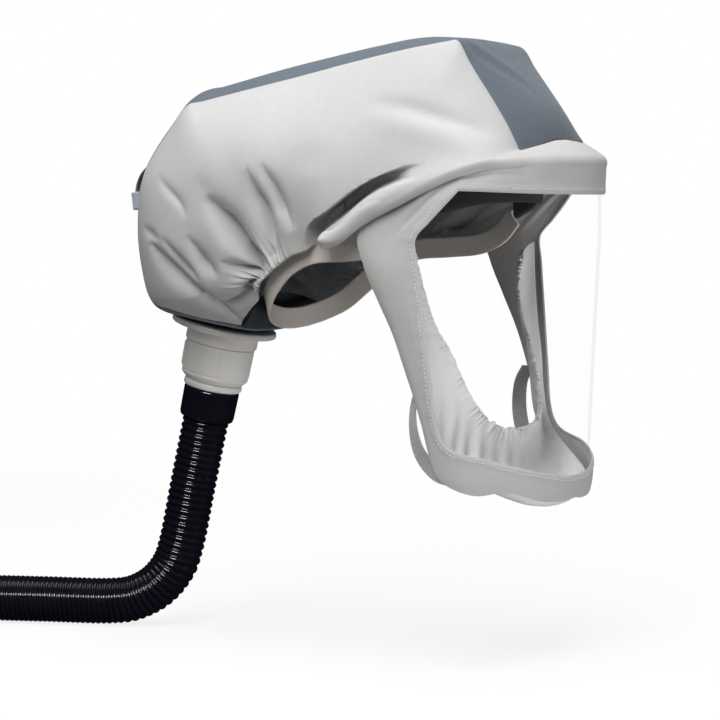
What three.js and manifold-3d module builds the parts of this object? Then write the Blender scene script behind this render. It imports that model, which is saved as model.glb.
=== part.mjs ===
// Powered air respirator hood with its breathing hose.
// Millimetres, +Z up, the wearer faces -Y and the wearer's right is -X.
// The origin is the middle of the head at the level of the band over the ears.
// Tables give places as forward (from the origin to the face), side (outwards) and up.
import * as THREE from 'three';
import Module from 'manifold-3d';

const wasm = await Module();
wasm.setup();

const RIGHT = -1;
const LEFT = 1;
const DEG = Math.PI / 180;
const GAP = 0.35;
const HEAD_MIDDLE = new THREE.Vector3(0, 20, 40);

// Thickness of each kind of wall
const CLOTH = 1.6;
const SEAL_CLOTH = 1.2;
const VISOR_SHEET = 1.0;
const ELASTIC = 2.0;
const FOAM = 6.0;
const WEBBING = 1.6;

// The curve that the visor and its bands follow, an ellipse in plan at each height
const FACE_TOP = 18;
const FACE_LOW = -115;
const FACE_CENTRE = [57, 70];
const FACE_REACH = [77, 56];
const FACE_HALF = [98, 90];
const BROW_HEM = 48;
const CHIN_HEM = -134;
const VISOR_INSET = 2.2;
const VISOR_UNDER_HEM = 7;
const VISOR_CORNER = 68 * DEG;
const VISOR_END = 94 * DEG;
const SEAL_INSET = 5.0;

// The air inlet and the hose, along one tilted axis
const INLET_FORWARD = -135;
const INLET_UP = -43.8;
const INLET_TILT = 13 * DEG;
const INLET_BORE = 15;
const BASE_DRILL = 60;
const FLANGE_RADIUS = 36;
const ROUND = 20;
const HOSE_RADIUS = 16;
const HOSE_BORE = 12.5;
const HOSE_SIDES = 8;
const HOSE_STEPS = 30;

function table(columns, rows) {
  return rows.map((row) => Object.fromEntries(columns.map((name, i) => [name, row[i]])));
}

function curveOf(rows, forward, side, up) {
  return new THREE.CatmullRomCurve3(
    rows.map((row) => new THREE.Vector3(row[forward], row[side], row[up])),
    false,
    'catmullrom',
    0.5,
  );
}

function place(hand, forward, side, up) {
  return new THREE.Vector3(hand * side, -forward, up);
}

const mix = THREE.MathUtils.lerp;

// Side panels: a row per section from the base round the back, over the crown to the brow.
// The seam is the edge on the slate strip, the rim is the edge on the band, roll or ridge.
const SIDE_PANEL = table(
  ['seamForward', 'seamSide', 'seamUp', 'rimForward', 'rimSide', 'rimUp', 'swell', 'lift'],
  [
    [-98, 43, -42, -72, 66, -24, 3, 0],
    [-106, 46, -40.5, -71, 68.5, -21.5, 6, 0],
    [-128, 46.5, -37, -69.5, 71, -19, 9, 0],
    [-151, 46.5, -31.5, -68, 73, -17, 12, 0],
    [-166, 45.5, -25.5, -66.5, 75, -15, 15, -1],
    [-173, 45, -5, -65, 77, -13, 19, -2],
    [-176, 45, 25, -63, 78.5, -11, 23, 0],
    [-171, 45, 60, -60, 80, -9, 24, 3],
    [-157, 45.5, 82, -56.5, 81.5, -6, 24, 5],
    [-136, 46, 105.5, -51.5, 83, -2.5, 24, 6],
    [-112, 48, 111, -45, 84.5, 1.5, 22, 4],
    [-80, 49, 117.2, -37, 86, 6, 21, 2],
    [-46, 50, 124, -27, 88, 9, 19, 1],
    [-12, 51, 131, -12, 94, 10, 16, 1],
    [22, 52, 137.5, 7, 100.4, 12, 12, 1],
    [50, 52, 142.5, 30, 101, 22.5, 9, 1],
    [65, 52, 142.3, 50, 101.2, 33.5, 7, 1],
    [78, 52, 122, 68, 100.4, 44, 5, 1],
    [91, 52, 103, 84, 96, 52.5, 4, 1],
    [106.8, 52, 76.2, 112, 76, 67.5, 1.5, 1],
    [110.5, 30, 79, 128.5, 42, 71.2, 0, 0.5],
    [111, 0.2, 81, 134.6, 0.2, 71.8, 0, 0.5],
  ],
);

// Sections crowd towards the rim, and the folds die out near the seam and the rim
const RIM_CROWDING = 1.35;
const SEAM_CALM = 0.17;
const RIM_CALM = 0.07;
const RIM_PUSH = 0.12;
const FOLD_END = 0.06;
const FOLD_POINTS = 16;

// Folds in the side panels: a middle line in side view, half its width, and how far it is pushed in.
// Rows with a depth below nothing stand proud.
const FOLDS = table(
  ['forward1', 'up1', 'forward2', 'up2', 'forward3', 'up3', 'width', 'depth'],
  [
    [-30, 17, 8, 27, 62, 62, 9, 9],
    [-34, 8, 8, 17, 78, 58, 7, -2.5],
    [-100, 42, -82, 18, -68, -12, 9, 3.5],
    [-67, 54, -60, 26, -57, -4, 8, 3.5],
    [-52, 57, -45, 30, -38, 12, 8, 3.0],
    [-150, 8, -122, -14, -84, -20, 9, 3.0],
    [-128, 30, -100, 6, -72, -14, 8, 2.6],
    [-20, 78, 30, 92, 84, 74, 14, 2.0],
  ],
);

// The slate strip: a row per section from the brow over the crown, down the back and under to the nape,
// with its edge in side view, half its width and the rise of its middle
const STRIP_EDGE = 2.3;
const DOME_POWER = 2.4;
const STRIP = table(['forward', 'up', 'half', 'dome'], [
  [107.6, 78, 52, 3],
  [99.5, 90, 52, 3.5],
  [91, 103, 52, 4],
  [78, 122, 52, 3.5],
  [65, 141.6, 52, 2],
  [50, 142, 52, 4.2],
  [22, 137.2, 52, 9.4],
  [-12, 130.7, 51, 12],
  [-46, 123.7, 50, 12.6],
  [-80, 117, 49, 12.2],
  [-112, 110.8, 48, 11],
  [-136, 105.3, 46, 10],
  [-157, 82, 45.5, 9.5],
  [-171, 60, 45, 6],
  [-176, 25, 45, 5],
  [-173, -5, 45, 3.5],
  [-166, -26, 45, 1],
  [-151, -32, 46, -1],
  [-128, -37.5, 46, -2],
  [-106, -41, 46, -1],
  [-98, -42.5, 43, -1],
  [-91, -37, 45, -8],
  [-84, -31, 51, -14],
]);
const FRONT_ROWS = [0, 4];
const CROWN_ROWS = [4, 11];
const REAR_ROWS = [11, 16];
const BASE_ROWS = [16, 20];
const NAPE_ROWS = [20, 22];
const STRIP_GAP = 0.05;
const FRONT_ARCH = 4;

// Head band: its middle line, and the head pad that closes it at the front
const BAND_HEIGHT = 14;
const BAND_FLATTEN = 0.55;
const NECK_BAND = table(['forward', 'side', 'up'], [
  [47, 77.5, 30],
  [36, 80, 19],
  [20, 81, 12],
  [-2.6, 81, 9.7],
  [-25.7, 79, 8],
  [-41.9, 75.5, 2],
  [-53, 72, -6],
  [-63.9, 66, -17],
  [-72, 55, -27],
  [-78, 38, -33],
  [-81.5, 18, -36.5],
  [-82.5, 0, -37.5],
]);
const PAD_CENTRE = 40;
const PAD_REACH = 52;
const PAD_HALF = 77;
const PAD_END = 80 * DEG;
const PAD_LOW = [40.5, 24];
const PAD_HEIGHT = [30, 20];

// Brow band and face frame: angle from the middle of the face and height of both edges
const BAND_COLUMNS = ['hemAngle', 'hemUp', 'edgeAngle', 'edgeUp', 'puff'];
const BROW_BAND = table(BAND_COLUMNS, [
  [0, 48.5, 0, 69, 0.8],
  [18, 48.3, 18, 69, 0.8],
  [34, 48, 34, 68.4, 0.8],
  [48, 48, 47, 65.6, 0.8],
  [59, 48, 57, 60, 0.6],
  [68.5, 48, 65.5, 55, 0.4],
]);
const FACE_FRAME = table(BAND_COLUMNS, [
  [70, 47, 71.5, 53, 0.3],
  [76, 38, 84, 44, 0.4],
  [83, 28, 100, 33, 0.6],
  [90, 17, 119.5, 18, 1],
  [90, 0, 119.5, 0, 1],
  [90, -22, 115, -22, 1],
  [90, -45, 109, -45, 1],
  [90, -73, 104, -73, 1],
  [90, -95, 100, -99, 0.8],
  [87, -108, 97, -121, 0.6],
  [79, -114.5, 90, -134, 0.6],
  [62, -119, 70, -142, 0.6],
  [44, -125, 49, -141, 0.6],
  [26, -130, 28, -148, 0.6],
  [10, -133.5, 10, -150, 0.6],
  [0, -134, 0, -149, 0.6],
]);

// Face seal: where it is sewn in behind the frame, how it bags, and its elastic edge on the face
const FACE_SEAL = table(
  ['sewnAngle', 'sewnUp', 'bagForward', 'bagSide', 'bagUp', 'edgeForward', 'edgeSide', 'edgeUp'],
  [
    [92, 14, 52, 88, 12, 51, 84, 8],
    [93, -14, 47, 85, -14, 52, 75, -14],
    [93, -38, 48, 82, -40, 57, 70, -36],
    [92, -62, 52, 78, -62, 66, 64, -56],
    [92, -88, 58, 74, -92, 74, 57, -79],
    [88, -110, 66, 68, -120, 81, 46, -96],
    [68, -128, 84, 58, -152, 85, 30, -104],
    [40, -138, 101, 36, -170, 87, 15, -106],
    [18, -143, 106, 16, -174, 88, 6, -107],
    [0, -144, 107, 0, -175, 88, 0, -107],
  ],
);
const RUFFLES = 23;
const RUFFLE_DEPTH = 1.3;

// Straps, and how far along a strap its heading is read
const STRAP_LOOK = 0.01;
const CHEEK_STRAP_WIDTH = 10;
const CHEEK_STRAP = table(['forward', 'side', 'up'], [
  [55, 81, -70],
  [49, 83, -82],
  [48, 83.5, -100],
  [52.5, 82.5, -117],
  [62, 79, -129],
  [72, 75, -133],
]);
const REAR_STRAP_WIDTH = 20;
const REAR_STRAP = table(['forward', 'side', 'up'], [
  [-179.6, 0, 68],
  [-184, 0, 65.5],
  [-193, 0, 58],
  [-199.5, 0, 47],
  [-198, 0, 35],
  [-192, 0, 27],
  [-184.6, 0, 24],
]);
const SLIDER_SIZE = [25, 3.4, 12];
const SLIDER_SLOT = [20.8, 4.4];
const SLIDER_FORWARD = -198.3;
const SLIDER_UP = 41.5;
const SLIDER_TURN = -7 * DEG;

// Profiles along the inlet axis: distance below the middle of the flange, and radius
const FLANGE_PROFILE = [
  [-2.3, INLET_BORE],
  [-2.3, FLANGE_RADIUS - 1],
  [-1.2, FLANGE_RADIUS],
  [1.3, FLANGE_RADIUS],
  [2.3, FLANGE_RADIUS - 1.6],
  [2.3, INLET_BORE],
];
const COLLAR_PROFILE = [
  [2.65, INLET_BORE],
  [2.65, 23.6],
  [3.6, 24.6],
  [11.6, 24.6],
  [12.4, 23.8],
  [12.4, INLET_BORE],
];
const BODY_PROFILE = [
  [12.75, INLET_BORE],
  [12.75, 23.5],
  [32.2, 23.2],
  [33.2, 22.4],
  [33.8, 23],
  [35.4, 22.6],
  [38.4, 19.6],
  [38.4, INLET_BORE],
];
const LIP_PROFILE = [
  [38.75, INLET_BORE],
  [38.75, 19],
  [40, 20],
  [42.4, 20],
  [43.4, 19.2],
  [43.4, INLET_BORE],
];
const CUFF_PROFILE = [
  [43.75, HOSE_BORE],
  [43.75, 18.2],
  [45, 19],
  [63.6, 18.6],
  [65.2, 17.4],
  [65.2, HOSE_BORE],
];
const BODY_RIB = { wide: 7, deep: 3.2, sunk: 0.8, top: 14.5, low: 31, turn: 150 * DEG };
const END_CUFF_PROFILE = [
  [0, HOSE_BORE],
  [0, 17.4],
  [1.6, 18.6],
  [26, 19],
  [27, 18.2],
  [27, HOSE_BORE],
];
const PLUG_PROFILE = [
  [27.35, HOSE_BORE],
  [27.35, 21],
  [36, 21],
  [37, 18],
  [55, 17.4],
  [56, 16.6],
  [56, HOSE_BORE],
];

// The hose: down along the inlet axis, round a bend, and along the floor in an open turn
const HOSE_START = 65.55;
const HOSE_FLOOR = -236.5;
const HOSE_BEND = 50;
const HOSE_AWAY = 18 * DEG;
const HOSE_RUN = 100;
const HOSE_TURN = 130;
const HOSE_TURN_ANGLE = 162 * DEG;
const HOSE_TAIL = 28;
const HOSE_END_RISE = 5;

const cloth = new THREE.MeshStandardMaterial({ name: 'coated_fabric', color: 0xc9c9c9, roughness: 0.62 });
const slate = new THREE.MeshStandardMaterial({ name: 'slate_fabric', color: 0x6f7c88, roughness: 0.75 });
const darkSlate = new THREE.MeshStandardMaterial({ name: 'dark_slate_fabric', color: 0x44464e, roughness: 0.85 });
const sealCloth = new THREE.MeshStandardMaterial({ name: 'seal_fabric', color: 0xe2e2e2, roughness: 0.7 });
const elastic = new THREE.MeshStandardMaterial({ name: 'elastic_band', color: 0xb9afa8, roughness: 0.85 });
const foam = new THREE.MeshStandardMaterial({ name: 'pad_foam', color: 0x45474d, roughness: 0.95 });
const webbing = new THREE.MeshStandardMaterial({ name: 'grey_webbing', color: 0x9a9a9a, roughness: 0.85 });
const slateWebbing = new THREE.MeshStandardMaterial({ name: 'slate_webbing', color: 0x5d6873, roughness: 0.85 });
const hardGrey = new THREE.MeshStandardMaterial({ name: 'grey_plastic', color: 0xc2bfb9, roughness: 0.45 });
const rubber = new THREE.MeshStandardMaterial({ name: 'black_rubber', color: 0x1c1a22, roughness: 0.5 });
const clear = new THREE.MeshStandardMaterial({
  name: 'clear_sheet',
  color: 0xeef4f6,
  roughness: 0.05,
  transparent: true,
  opacity: 0.2,
});

const hood = new THREE.Group();
hood.name = 'powered_air_respirator_hood';

function addPiece(name, geometry, material, parent = hood) {
  geometry.computeVertexNormals();
  const piece = new THREE.Mesh(geometry, material);
  piece.name = name;
  parent.add(piece);
  return piece;
}

function signedVolume(points, faces) {
  const across = new THREE.Vector3();
  let volume = 0;
  for (let i = 0; i < faces.length; i += 3) {
    across.crossVectors(points[faces[i + 1]], points[faces[i + 2]]);
    volume += points[faces[i]].dot(across) / 6;
  }
  return volume;
}

function solidFrom(points, faces) {
  const order = signedVolume(points, faces) < 0 ? faces.toReversed() : faces;
  const geometry = new THREE.BufferGeometry().setFromPoints(points);
  geometry.setIndex(order);
  return geometry;
}

// A wall of even thickness on the head's side of the surface (u, v), with its edges closed
function wall(surface, uCount, vCount, thick) {
  const across = vCount + 1;
  const outer = [];
  for (let i = 0; i <= uCount; i++) {
    for (let j = 0; j <= vCount; j++) {
      outer.push(surface(i / uCount, j / vCount));
    }
  }
  const at = (i, j) => {
    const row = THREE.MathUtils.clamp(i, 0, uCount);
    const column = THREE.MathUtils.clamp(j, 0, vCount);
    return outer[row * across + column];
  };
  const normals = [];
  let outward = 0;
  for (let i = 0; i <= uCount; i++) {
    for (let j = 0; j <= vCount; j++) {
      const along = at(i + 1, j).clone().sub(at(i - 1, j));
      const over = at(i, j + 1).clone().sub(at(i, j - 1));
      const normal = along.cross(over).normalize();
      outward += normal.dot(at(i, j).clone().sub(HEAD_MIDDLE));
      normals.push(normal);
    }
  }
  const inwards = -thick * Math.sign(outward);
  const inner = outer.map((spot, i) => spot.clone().addScaledVector(normals[i], inwards));
  const faces = [];
  const quad = (a, b, c, d) => faces.push(a, b, c, a, c, d);
  const far = outer.length;
  for (let i = 0; i < uCount; i++) {
    for (let j = 0; j < vCount; j++) {
      const a = i * across + j;
      const b = a + across;
      quad(a, b, b + 1, a + 1);
      quad(far + a, far + a + 1, far + b + 1, far + b);
    }
  }
  for (let i = 0; i < uCount; i++) {
    const low = i * across;
    const high = low + vCount;
    quad(low, far + low, far + low + across, low + across);
    quad(high, high + across, far + high + across, far + high);
  }
  for (let j = 0; j < vCount; j++) {
    const end = uCount * across + j;
    quad(j, j + 1, far + j + 1, far + j);
    quad(end, far + end, far + end + 1, end + 1);
  }
  return solidFrom([...outer, ...inner], faces);
}

// A flat strap of one width that follows a line, standing off it along outward
function strap(line, outward, width, thick, steps) {
  const surface = (u, v) => {
    const middle = line(u);
    const ahead = line(Math.min(1, u + STRAP_LOOK));
    const behind = line(Math.max(0, u - STRAP_LOOK));
    const over = outward(u).cross(ahead.sub(behind)).normalize();
    return middle.addScaledVector(over, (v - 0.5) * width);
  };
  return wall(surface, steps, 1, thick);
}

// A point on the curve of the face, at an angle from its middle, with a distance outwards
function facePoint(hand, angle, up, out) {
  const low = Math.max(0, (FACE_TOP - up) / (FACE_TOP - FACE_LOW));
  const reach = mix(FACE_REACH[0], FACE_REACH[1], low);
  const half = mix(FACE_HALF[0], FACE_HALF[1], low) + out;
  const centre = mix(FACE_CENTRE[0], FACE_CENTRE[1], low);
  const behind = Math.max(0, angle - Math.PI / 2);
  const turn = Math.min(angle, Math.PI / 2);
  const forward = centre + (reach + out) * Math.cos(turn) - reach * behind;
  return place(hand, forward, half * Math.sin(turn), up);
}

function foldLines() {
  return FOLDS.map((fold) => {
    const line = new THREE.QuadraticBezierCurve(
      new THREE.Vector2(fold.forward1, fold.up1),
      new THREE.Vector2(2 * fold.forward2 - (fold.forward1 + fold.forward3) / 2,
        2 * fold.up2 - (fold.up1 + fold.up3) / 2),
      new THREE.Vector2(fold.forward3, fold.up3),
    );
    return { ...fold, points: line.getPoints(FOLD_POINTS) };
  });
}

const foldTable = foldLines();

// How far the folds push a side panel in, at a place in side view
function foldDepth(forward, up) {
  let push = 0;
  for (const fold of foldTable) {
    let nearest = Infinity;
    let along = 0;
    fold.points.forEach((point, i) => {
      const away = Math.hypot(point.x - forward, point.y - up);
      if (away < nearest) {
        nearest = away;
        along = i / (fold.points.length - 1);
      }
    });
    const taper = Math.sin(Math.PI * mix(FOLD_END, 1 - FOLD_END, along));
    const spread = nearest / fold.width;
    push += fold.depth * taper * Math.exp(-spread * spread);
  }
  return push;
}

function sidePanel(hand) {
  const seam = curveOf(SIDE_PANEL, 'seamForward', 'seamSide', 'seamUp');
  const rim = curveOf(SIDE_PANEL, 'rimForward', 'rimSide', 'rimUp');
  const shape = curveOf(SIDE_PANEL, 'swell', 'lift', 'seamSide');
  const plain = (u, v) => {
    const from = seam.getPoint(u);
    const to = rim.getPoint(u);
    const form = shape.getPoint(u);
    const bulge = Math.sin(Math.PI * v);
    const spot = from.lerp(to, v);
    spot.y += form.x * bulge;
    spot.z += form.y * bulge;
    return spot;
  };
  const surface = (u, v) => {
    const down = 1 - (1 - v) ** RIM_CROWDING;
    const spot = plain(u, down);
    const calm = Math.min(1, down / SEAM_CALM, (1 - down) / RIM_CALM + RIM_PUSH);
    const push = foldDepth(spot.x, spot.z) * calm;
    return place(hand, spot.x, spot.y - push, spot.z);
  };
  return wall(surface, 2 * (SIDE_PANEL.length - 1), 11, CLOTH);
}

// A panel of the slate strip between two of its rows, its middle standing out from its two edges
function stripPanel([fromRow, toRow], uCount, vCount, archRise = 0) {
  const edge = new THREE.SplineCurve(STRIP.map((row) => new THREE.Vector2(row.forward, row.up)));
  const form = new THREE.SplineCurve(STRIP.map((row) => new THREE.Vector2(row.half, row.dome)));
  const last = STRIP.length - 1;
  const surface = (u, v) => {
    const t = mix(fromRow + STRIP_GAP, toRow - STRIP_GAP, u) / last;
    const spot = edge.getPoint(t);
    const heading = edge.getTangent(t);
    const size = form.getPoint(t);
    const across = 2 * v - 1;
    const middle = 1 - Math.abs(across) ** DOME_POWER;
    const rise = size.y * middle;
    const arch = archRise * middle * (1 - u) ** 3;
    const forward = spot.x + heading.y * rise;
    const up = spot.y - heading.x * rise + arch;
    return place(LEFT, forward, across * (size.x - STRIP_EDGE), up);
  };
  return wall(surface, uCount, vCount, CLOTH);
}

// Both halves of a band in one: t runs from the right end through the middle to the left end
function bandSurface(rows, flip) {
  const hem = curveOf(rows, 'hemAngle', 'hemUp', 'puff');
  const edge = curveOf(rows, 'edgeAngle', 'edgeUp', 'puff');
  return (u, v) => {
    const half = 2 * u - 1;
    const t = flip ? 1 - Math.abs(half) : Math.abs(half);
    const from = hem.getPoint(t);
    const to = edge.getPoint(t);
    const angle = mix(from.x, to.x, v) * DEG;
    const up = mix(from.y, to.y, v);
    const out = 4 * from.z * v * (1 - v);
    return facePoint(half < 0 ? RIGHT : LEFT, angle, up, out);
  };
}

// The clear sheet: across the face between the two cheeks, its top and bottom edges under the hems
function visorSheet() {
  const topOf = (angle) => {
    const corner = Math.min(1, Math.cos(angle) / Math.cos(VISOR_CORNER));
    return mix(FACE_TOP, BROW_HEM, corner) + VISOR_UNDER_HEM;
  };
  const lowOf = (angle) => mix(CHIN_HEM, FACE_LOW, Math.sin(angle) ** 2) - VISOR_UNDER_HEM;
  const surface = (u, v) => {
    const half = 2 * u - 1;
    const angle = Math.abs(half) * VISOR_END;
    const turn = Math.min(angle, Math.PI / 2);
    const up = mix(lowOf(turn), topOf(turn), v);
    return facePoint(half < 0 ? RIGHT : LEFT, angle, up, -VISOR_INSET);
  };
  return wall(surface, 22, 4, VISOR_SHEET);
}

function faceSeal() {
  const sewn = curveOf(FACE_SEAL, 'sewnAngle', 'sewnUp', 'edgeSide');
  const bag = curveOf(FACE_SEAL, 'bagForward', 'bagSide', 'bagUp');
  const edge = curveOf(FACE_SEAL, 'edgeForward', 'edgeSide', 'edgeUp');
  const surface = (u, v) => {
    const half = 2 * u - 1;
    const hand = half < 0 ? RIGHT : LEFT;
    const t = 1 - Math.abs(half);
    const start = sewn.getPoint(t);
    const middle = bag.getPoint(t);
    const end = edge.getPoint(t);
    const line = new THREE.QuadraticBezierCurve3(
      facePoint(hand, start.x * DEG, start.y, -SEAL_INSET),
      place(hand, middle.x, middle.y, middle.z),
      place(hand, end.x, end.y, end.z),
    );
    const spot = line.getPoint(v);
    const ruffle = RUFFLE_DEPTH * v * v * Math.sin(2 * Math.PI * RUFFLES * u);
    spot.y += ruffle;
    return spot;
  };
  return wall(surface, 42, 4, SEAL_CLOTH);
}

function bothHands(rows) {
  const half = curveOf(rows, 'forward', 'side', 'up');
  return (u) => {
    const across = 2 * u - 1;
    const spot = half.getPoint(1 - Math.abs(across));
    return place(across < 0 ? RIGHT : LEFT, spot.x, spot.y, spot.z);
  };
}

function neckBand() {
  const line = bothHands(NECK_BAND);
  const outward = (u) => {
    const spot = line(u);
    return new THREE.Vector3(spot.x, spot.y * BAND_FLATTEN, 0).normalize();
  };
  return strap(line, outward, BAND_HEIGHT, ELASTIC, 34);
}

function browPad() {
  const surface = (u, v) => {
    const angle = mix(-PAD_END, PAD_END, u);
    const low = mix(PAD_LOW[0], PAD_LOW[1], (1 - Math.cos(angle)) ** 1.5);
    const tall = mix(PAD_HEIGHT[0], PAD_HEIGHT[1], 1 - Math.cos(angle));
    const forward = PAD_CENTRE + PAD_REACH * Math.cos(angle);
    return place(LEFT, forward, PAD_HALF * Math.sin(angle), low + v * tall);
  };
  return wall(surface, 20, 1, FOAM);
}

function cheekStrap(hand) {
  const half = curveOf(CHEEK_STRAP, 'forward', 'side', 'up');
  const line = (u) => {
    const spot = half.getPoint(u);
    return place(hand, spot.x, spot.y, spot.z);
  };
  const outward = () => new THREE.Vector3(hand * 0.45, 0.85, 0);
  return strap(line, outward, CHEEK_STRAP_WIDTH, WEBBING, 12);
}

function rearStrap() {
  const half = curveOf(REAR_STRAP, 'forward', 'side', 'up');
  const line = (u) => {
    const spot = half.getPoint(u);
    return place(LEFT, spot.x, spot.y, spot.z);
  };
  const outward = (u) => {
    const heading = half.getTangent(u);
    return new THREE.Vector3(0, heading.z, heading.x);
  };
  return strap(line, outward, REAR_STRAP_WIDTH, WEBBING, 14);
}

function strapSlider() {
  const [wide, deep, tall] = SLIDER_SIZE;
  const frame = new THREE.Shape();
  frame.moveTo(-wide / 2, -deep);
  frame.lineTo(wide / 2, -deep);
  frame.lineTo(wide / 2, deep);
  frame.lineTo(-wide / 2, deep);
  frame.closePath();
  const slot = new THREE.Path();
  slot.moveTo(-SLIDER_SLOT[0] / 2, -SLIDER_SLOT[1] / 2);
  slot.lineTo(-SLIDER_SLOT[0] / 2, SLIDER_SLOT[1] / 2);
  slot.lineTo(SLIDER_SLOT[0] / 2, SLIDER_SLOT[1] / 2);
  slot.lineTo(SLIDER_SLOT[0] / 2, -SLIDER_SLOT[1] / 2);
  slot.closePath();
  frame.holes.push(slot);
  return new THREE.ExtrudeGeometry(frame, { depth: tall, bevelEnabled: false }).translate(0, 0, -tall / 2);
}

// A turned ring along the local Z axis, downwards from the rows of distance and radius
function turned(rows, segments = ROUND) {
  const profile = rows.map(([down, radius]) => new THREE.Vector2(radius, -down));
  profile.push(profile[0].clone());
  profile.reverse();
  return new THREE.LatheGeometry(profile, segments).rotateX(Math.PI / 2);
}

function toManifold(geometry) {
  const plain = geometry.clone();
  const position = plain.getAttribute('position');
  const index = plain.index ? [...plain.index.array] : [...Array(position.count).keys()];
  const places = new Map();
  const points = [];
  const merged = index.map((i) => {
    const spot = [position.getX(i), position.getY(i), position.getZ(i)];
    const key = spot.map((value) => Math.round(value * 1000)).join();
    if (!places.has(key)) {
      places.set(key, points.length / 3);
      points.push(...spot);
    }
    return places.get(key);
  });
  const faces = [];
  for (let i = 0; i < merged.length; i += 3) {
    const [a, b, c] = merged.slice(i, i + 3);
    if (a !== b && b !== c && c !== a) {
      faces.push(a, b, c);
    }
  }
  return new wasm.Manifold(
    new wasm.Mesh({
      numProp: 3,
      vertProperties: new Float32Array(points),
      triVerts: new Uint32Array(faces),
    }),
  );
}

function toGeometry(solid) {
  const mesh = solid.getMesh();
  const geometry = new THREE.BufferGeometry();
  geometry.setAttribute('position', new THREE.BufferAttribute(mesh.vertProperties, mesh.numProp));
  geometry.setIndex(new THREE.BufferAttribute(mesh.triVerts, 1));
  return geometry;
}

const inlet = new THREE.Group();
inlet.name = 'inlet';
inlet.position.set(0, -INLET_FORWARD, INLET_UP);
inlet.rotation.x = INLET_TILT;
hood.add(inlet);

function basePanel() {
  const panel = stripPanel(BASE_ROWS, 8, 10);
  const hole = new THREE.CylinderGeometry(INLET_BORE, INLET_BORE, BASE_DRILL, ROUND).rotateX(Math.PI / 2);
  inlet.updateMatrix();
  return toGeometry(toManifold(panel).subtract(toManifold(hole.applyMatrix4(inlet.matrix))));
}

function couplingBody() {
  const { wide, deep, sunk, top, low, turn } = BODY_RIB;
  const radius = BODY_PROFILE[2][1];
  const rib = new THREE.BoxGeometry(wide, deep, low - top);
  rib.translate(0, radius - sunk, -(low + top) / 2).rotateZ(turn);
  return toGeometry(toManifold(turned(BODY_PROFILE)).add(toManifold(rib)));
}

// The middle line of the hose as straight and curved stretches
function hoseLine() {
  const down = new THREE.Vector3(0, Math.sin(INLET_TILT), -Math.cos(INLET_TILT));
  const away = new THREE.Vector3(-Math.sin(HOSE_AWAY), Math.cos(HOSE_AWAY), 0);
  const start = new THREE.Vector3(0, -INLET_FORWARD, INLET_UP).addScaledVector(down, HOSE_START);
  const reach = (start.z - HOSE_FLOOR) / Math.cos(INLET_TILT);
  const corner = start.clone().addScaledVector(down, reach);
  const cut = HOSE_BEND * Math.tan(down.angleTo(away) / 2);
  const bendFrom = corner.clone().addScaledVector(down, -cut);
  const bendTo = corner.clone().addScaledVector(away, cut);
  const points = [start, start.clone().lerp(bendFrom, 0.5)];
  const bendCentre = corner.clone().add(
    away.clone().sub(down).setLength(HOSE_BEND / Math.cos(down.angleTo(away) / 2)),
  );
  for (let i = 0; i <= 4; i++) {
    const spot = bendFrom.clone().lerp(bendTo, i / 4).sub(bendCentre);
    points.push(spot.setLength(HOSE_BEND).add(bendCentre));
  }
  const turnFrom = bendTo.clone().addScaledVector(away, HOSE_RUN);
  points.push(bendTo.clone().lerp(turnFrom, 0.5));
  const inward = new THREE.Vector3(-away.y, away.x, 0);
  const turnCentre = turnFrom.clone().addScaledVector(inward, HOSE_TURN);
  for (let i = 0; i <= 8; i++) {
    const arm = turnFrom.clone().sub(turnCentre);
    arm.applyAxisAngle(new THREE.Vector3(0, 0, 1), (HOSE_TURN_ANGLE * i) / 8);
    arm.z += HOSE_END_RISE * THREE.MathUtils.smoothstep(i, 4, 8);
    points.push(arm.add(turnCentre));
  }
  points.push(points[points.length - 1].clone().add(new THREE.Vector3(0, -HOSE_TAIL, 0)));
  return new THREE.CatmullRomCurve3(points, false, 'centripetal');
}

function ringShape(outer, inner, sides) {
  const corners = (radius) =>
    [...Array(sides).keys()].map((i) => {
      const angle = (2 * Math.PI * i) / sides;
      return new THREE.Vector2(radius * Math.cos(angle), radius * Math.sin(angle));
    });
  const shape = new THREE.Shape(corners(outer));
  shape.holes.push(new THREE.Path(corners(inner).reverse()));
  return shape;
}

const hoseCurve = hoseLine();
const hoseEnd = new THREE.Group();
hoseEnd.name = 'hose_end';
hoseEnd.position.copy(hoseCurve.getPoint(1)).add(new THREE.Vector3(0, -GAP, 0));
hoseEnd.rotation.x = -Math.PI / 2;
hood.add(hoseEnd);

addPiece('side_panel_right', sidePanel(RIGHT), cloth);
addPiece('side_panel_left', sidePanel(LEFT), cloth);
addPiece('front_panel', stripPanel(FRONT_ROWS, 5, 8, FRONT_ARCH), slate);
addPiece('crown_panel', stripPanel(CROWN_ROWS, 10, 8), slate);
addPiece('rear_panel', stripPanel(REAR_ROWS, 9, 8), slate);
addPiece('base_panel', basePanel(), slate);
addPiece('nape_panel', stripPanel(NAPE_ROWS, 3, 8), darkSlate);
addPiece('brow_band', wall(bandSurface(BROW_BAND, false), 20, 3, CLOTH), cloth);
addPiece('face_frame', wall(bandSurface(FACE_FRAME, true), 46, 3, CLOTH), cloth);
addPiece('visor', visorSheet(), clear);
addPiece('face_seal', faceSeal(), sealCloth);
addPiece('neck_band', neckBand(), elastic);
addPiece('brow_pad', browPad(), foam);
addPiece('cheek_strap_right', cheekStrap(RIGHT), webbing);
addPiece('cheek_strap_left', cheekStrap(LEFT), webbing);
addPiece('rear_strap', rearStrap(), slateWebbing);
const slider = addPiece('strap_slider', strapSlider(), slateWebbing);
slider.position.set(0, -SLIDER_FORWARD, SLIDER_UP);
slider.rotation.x = SLIDER_TURN;

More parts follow.
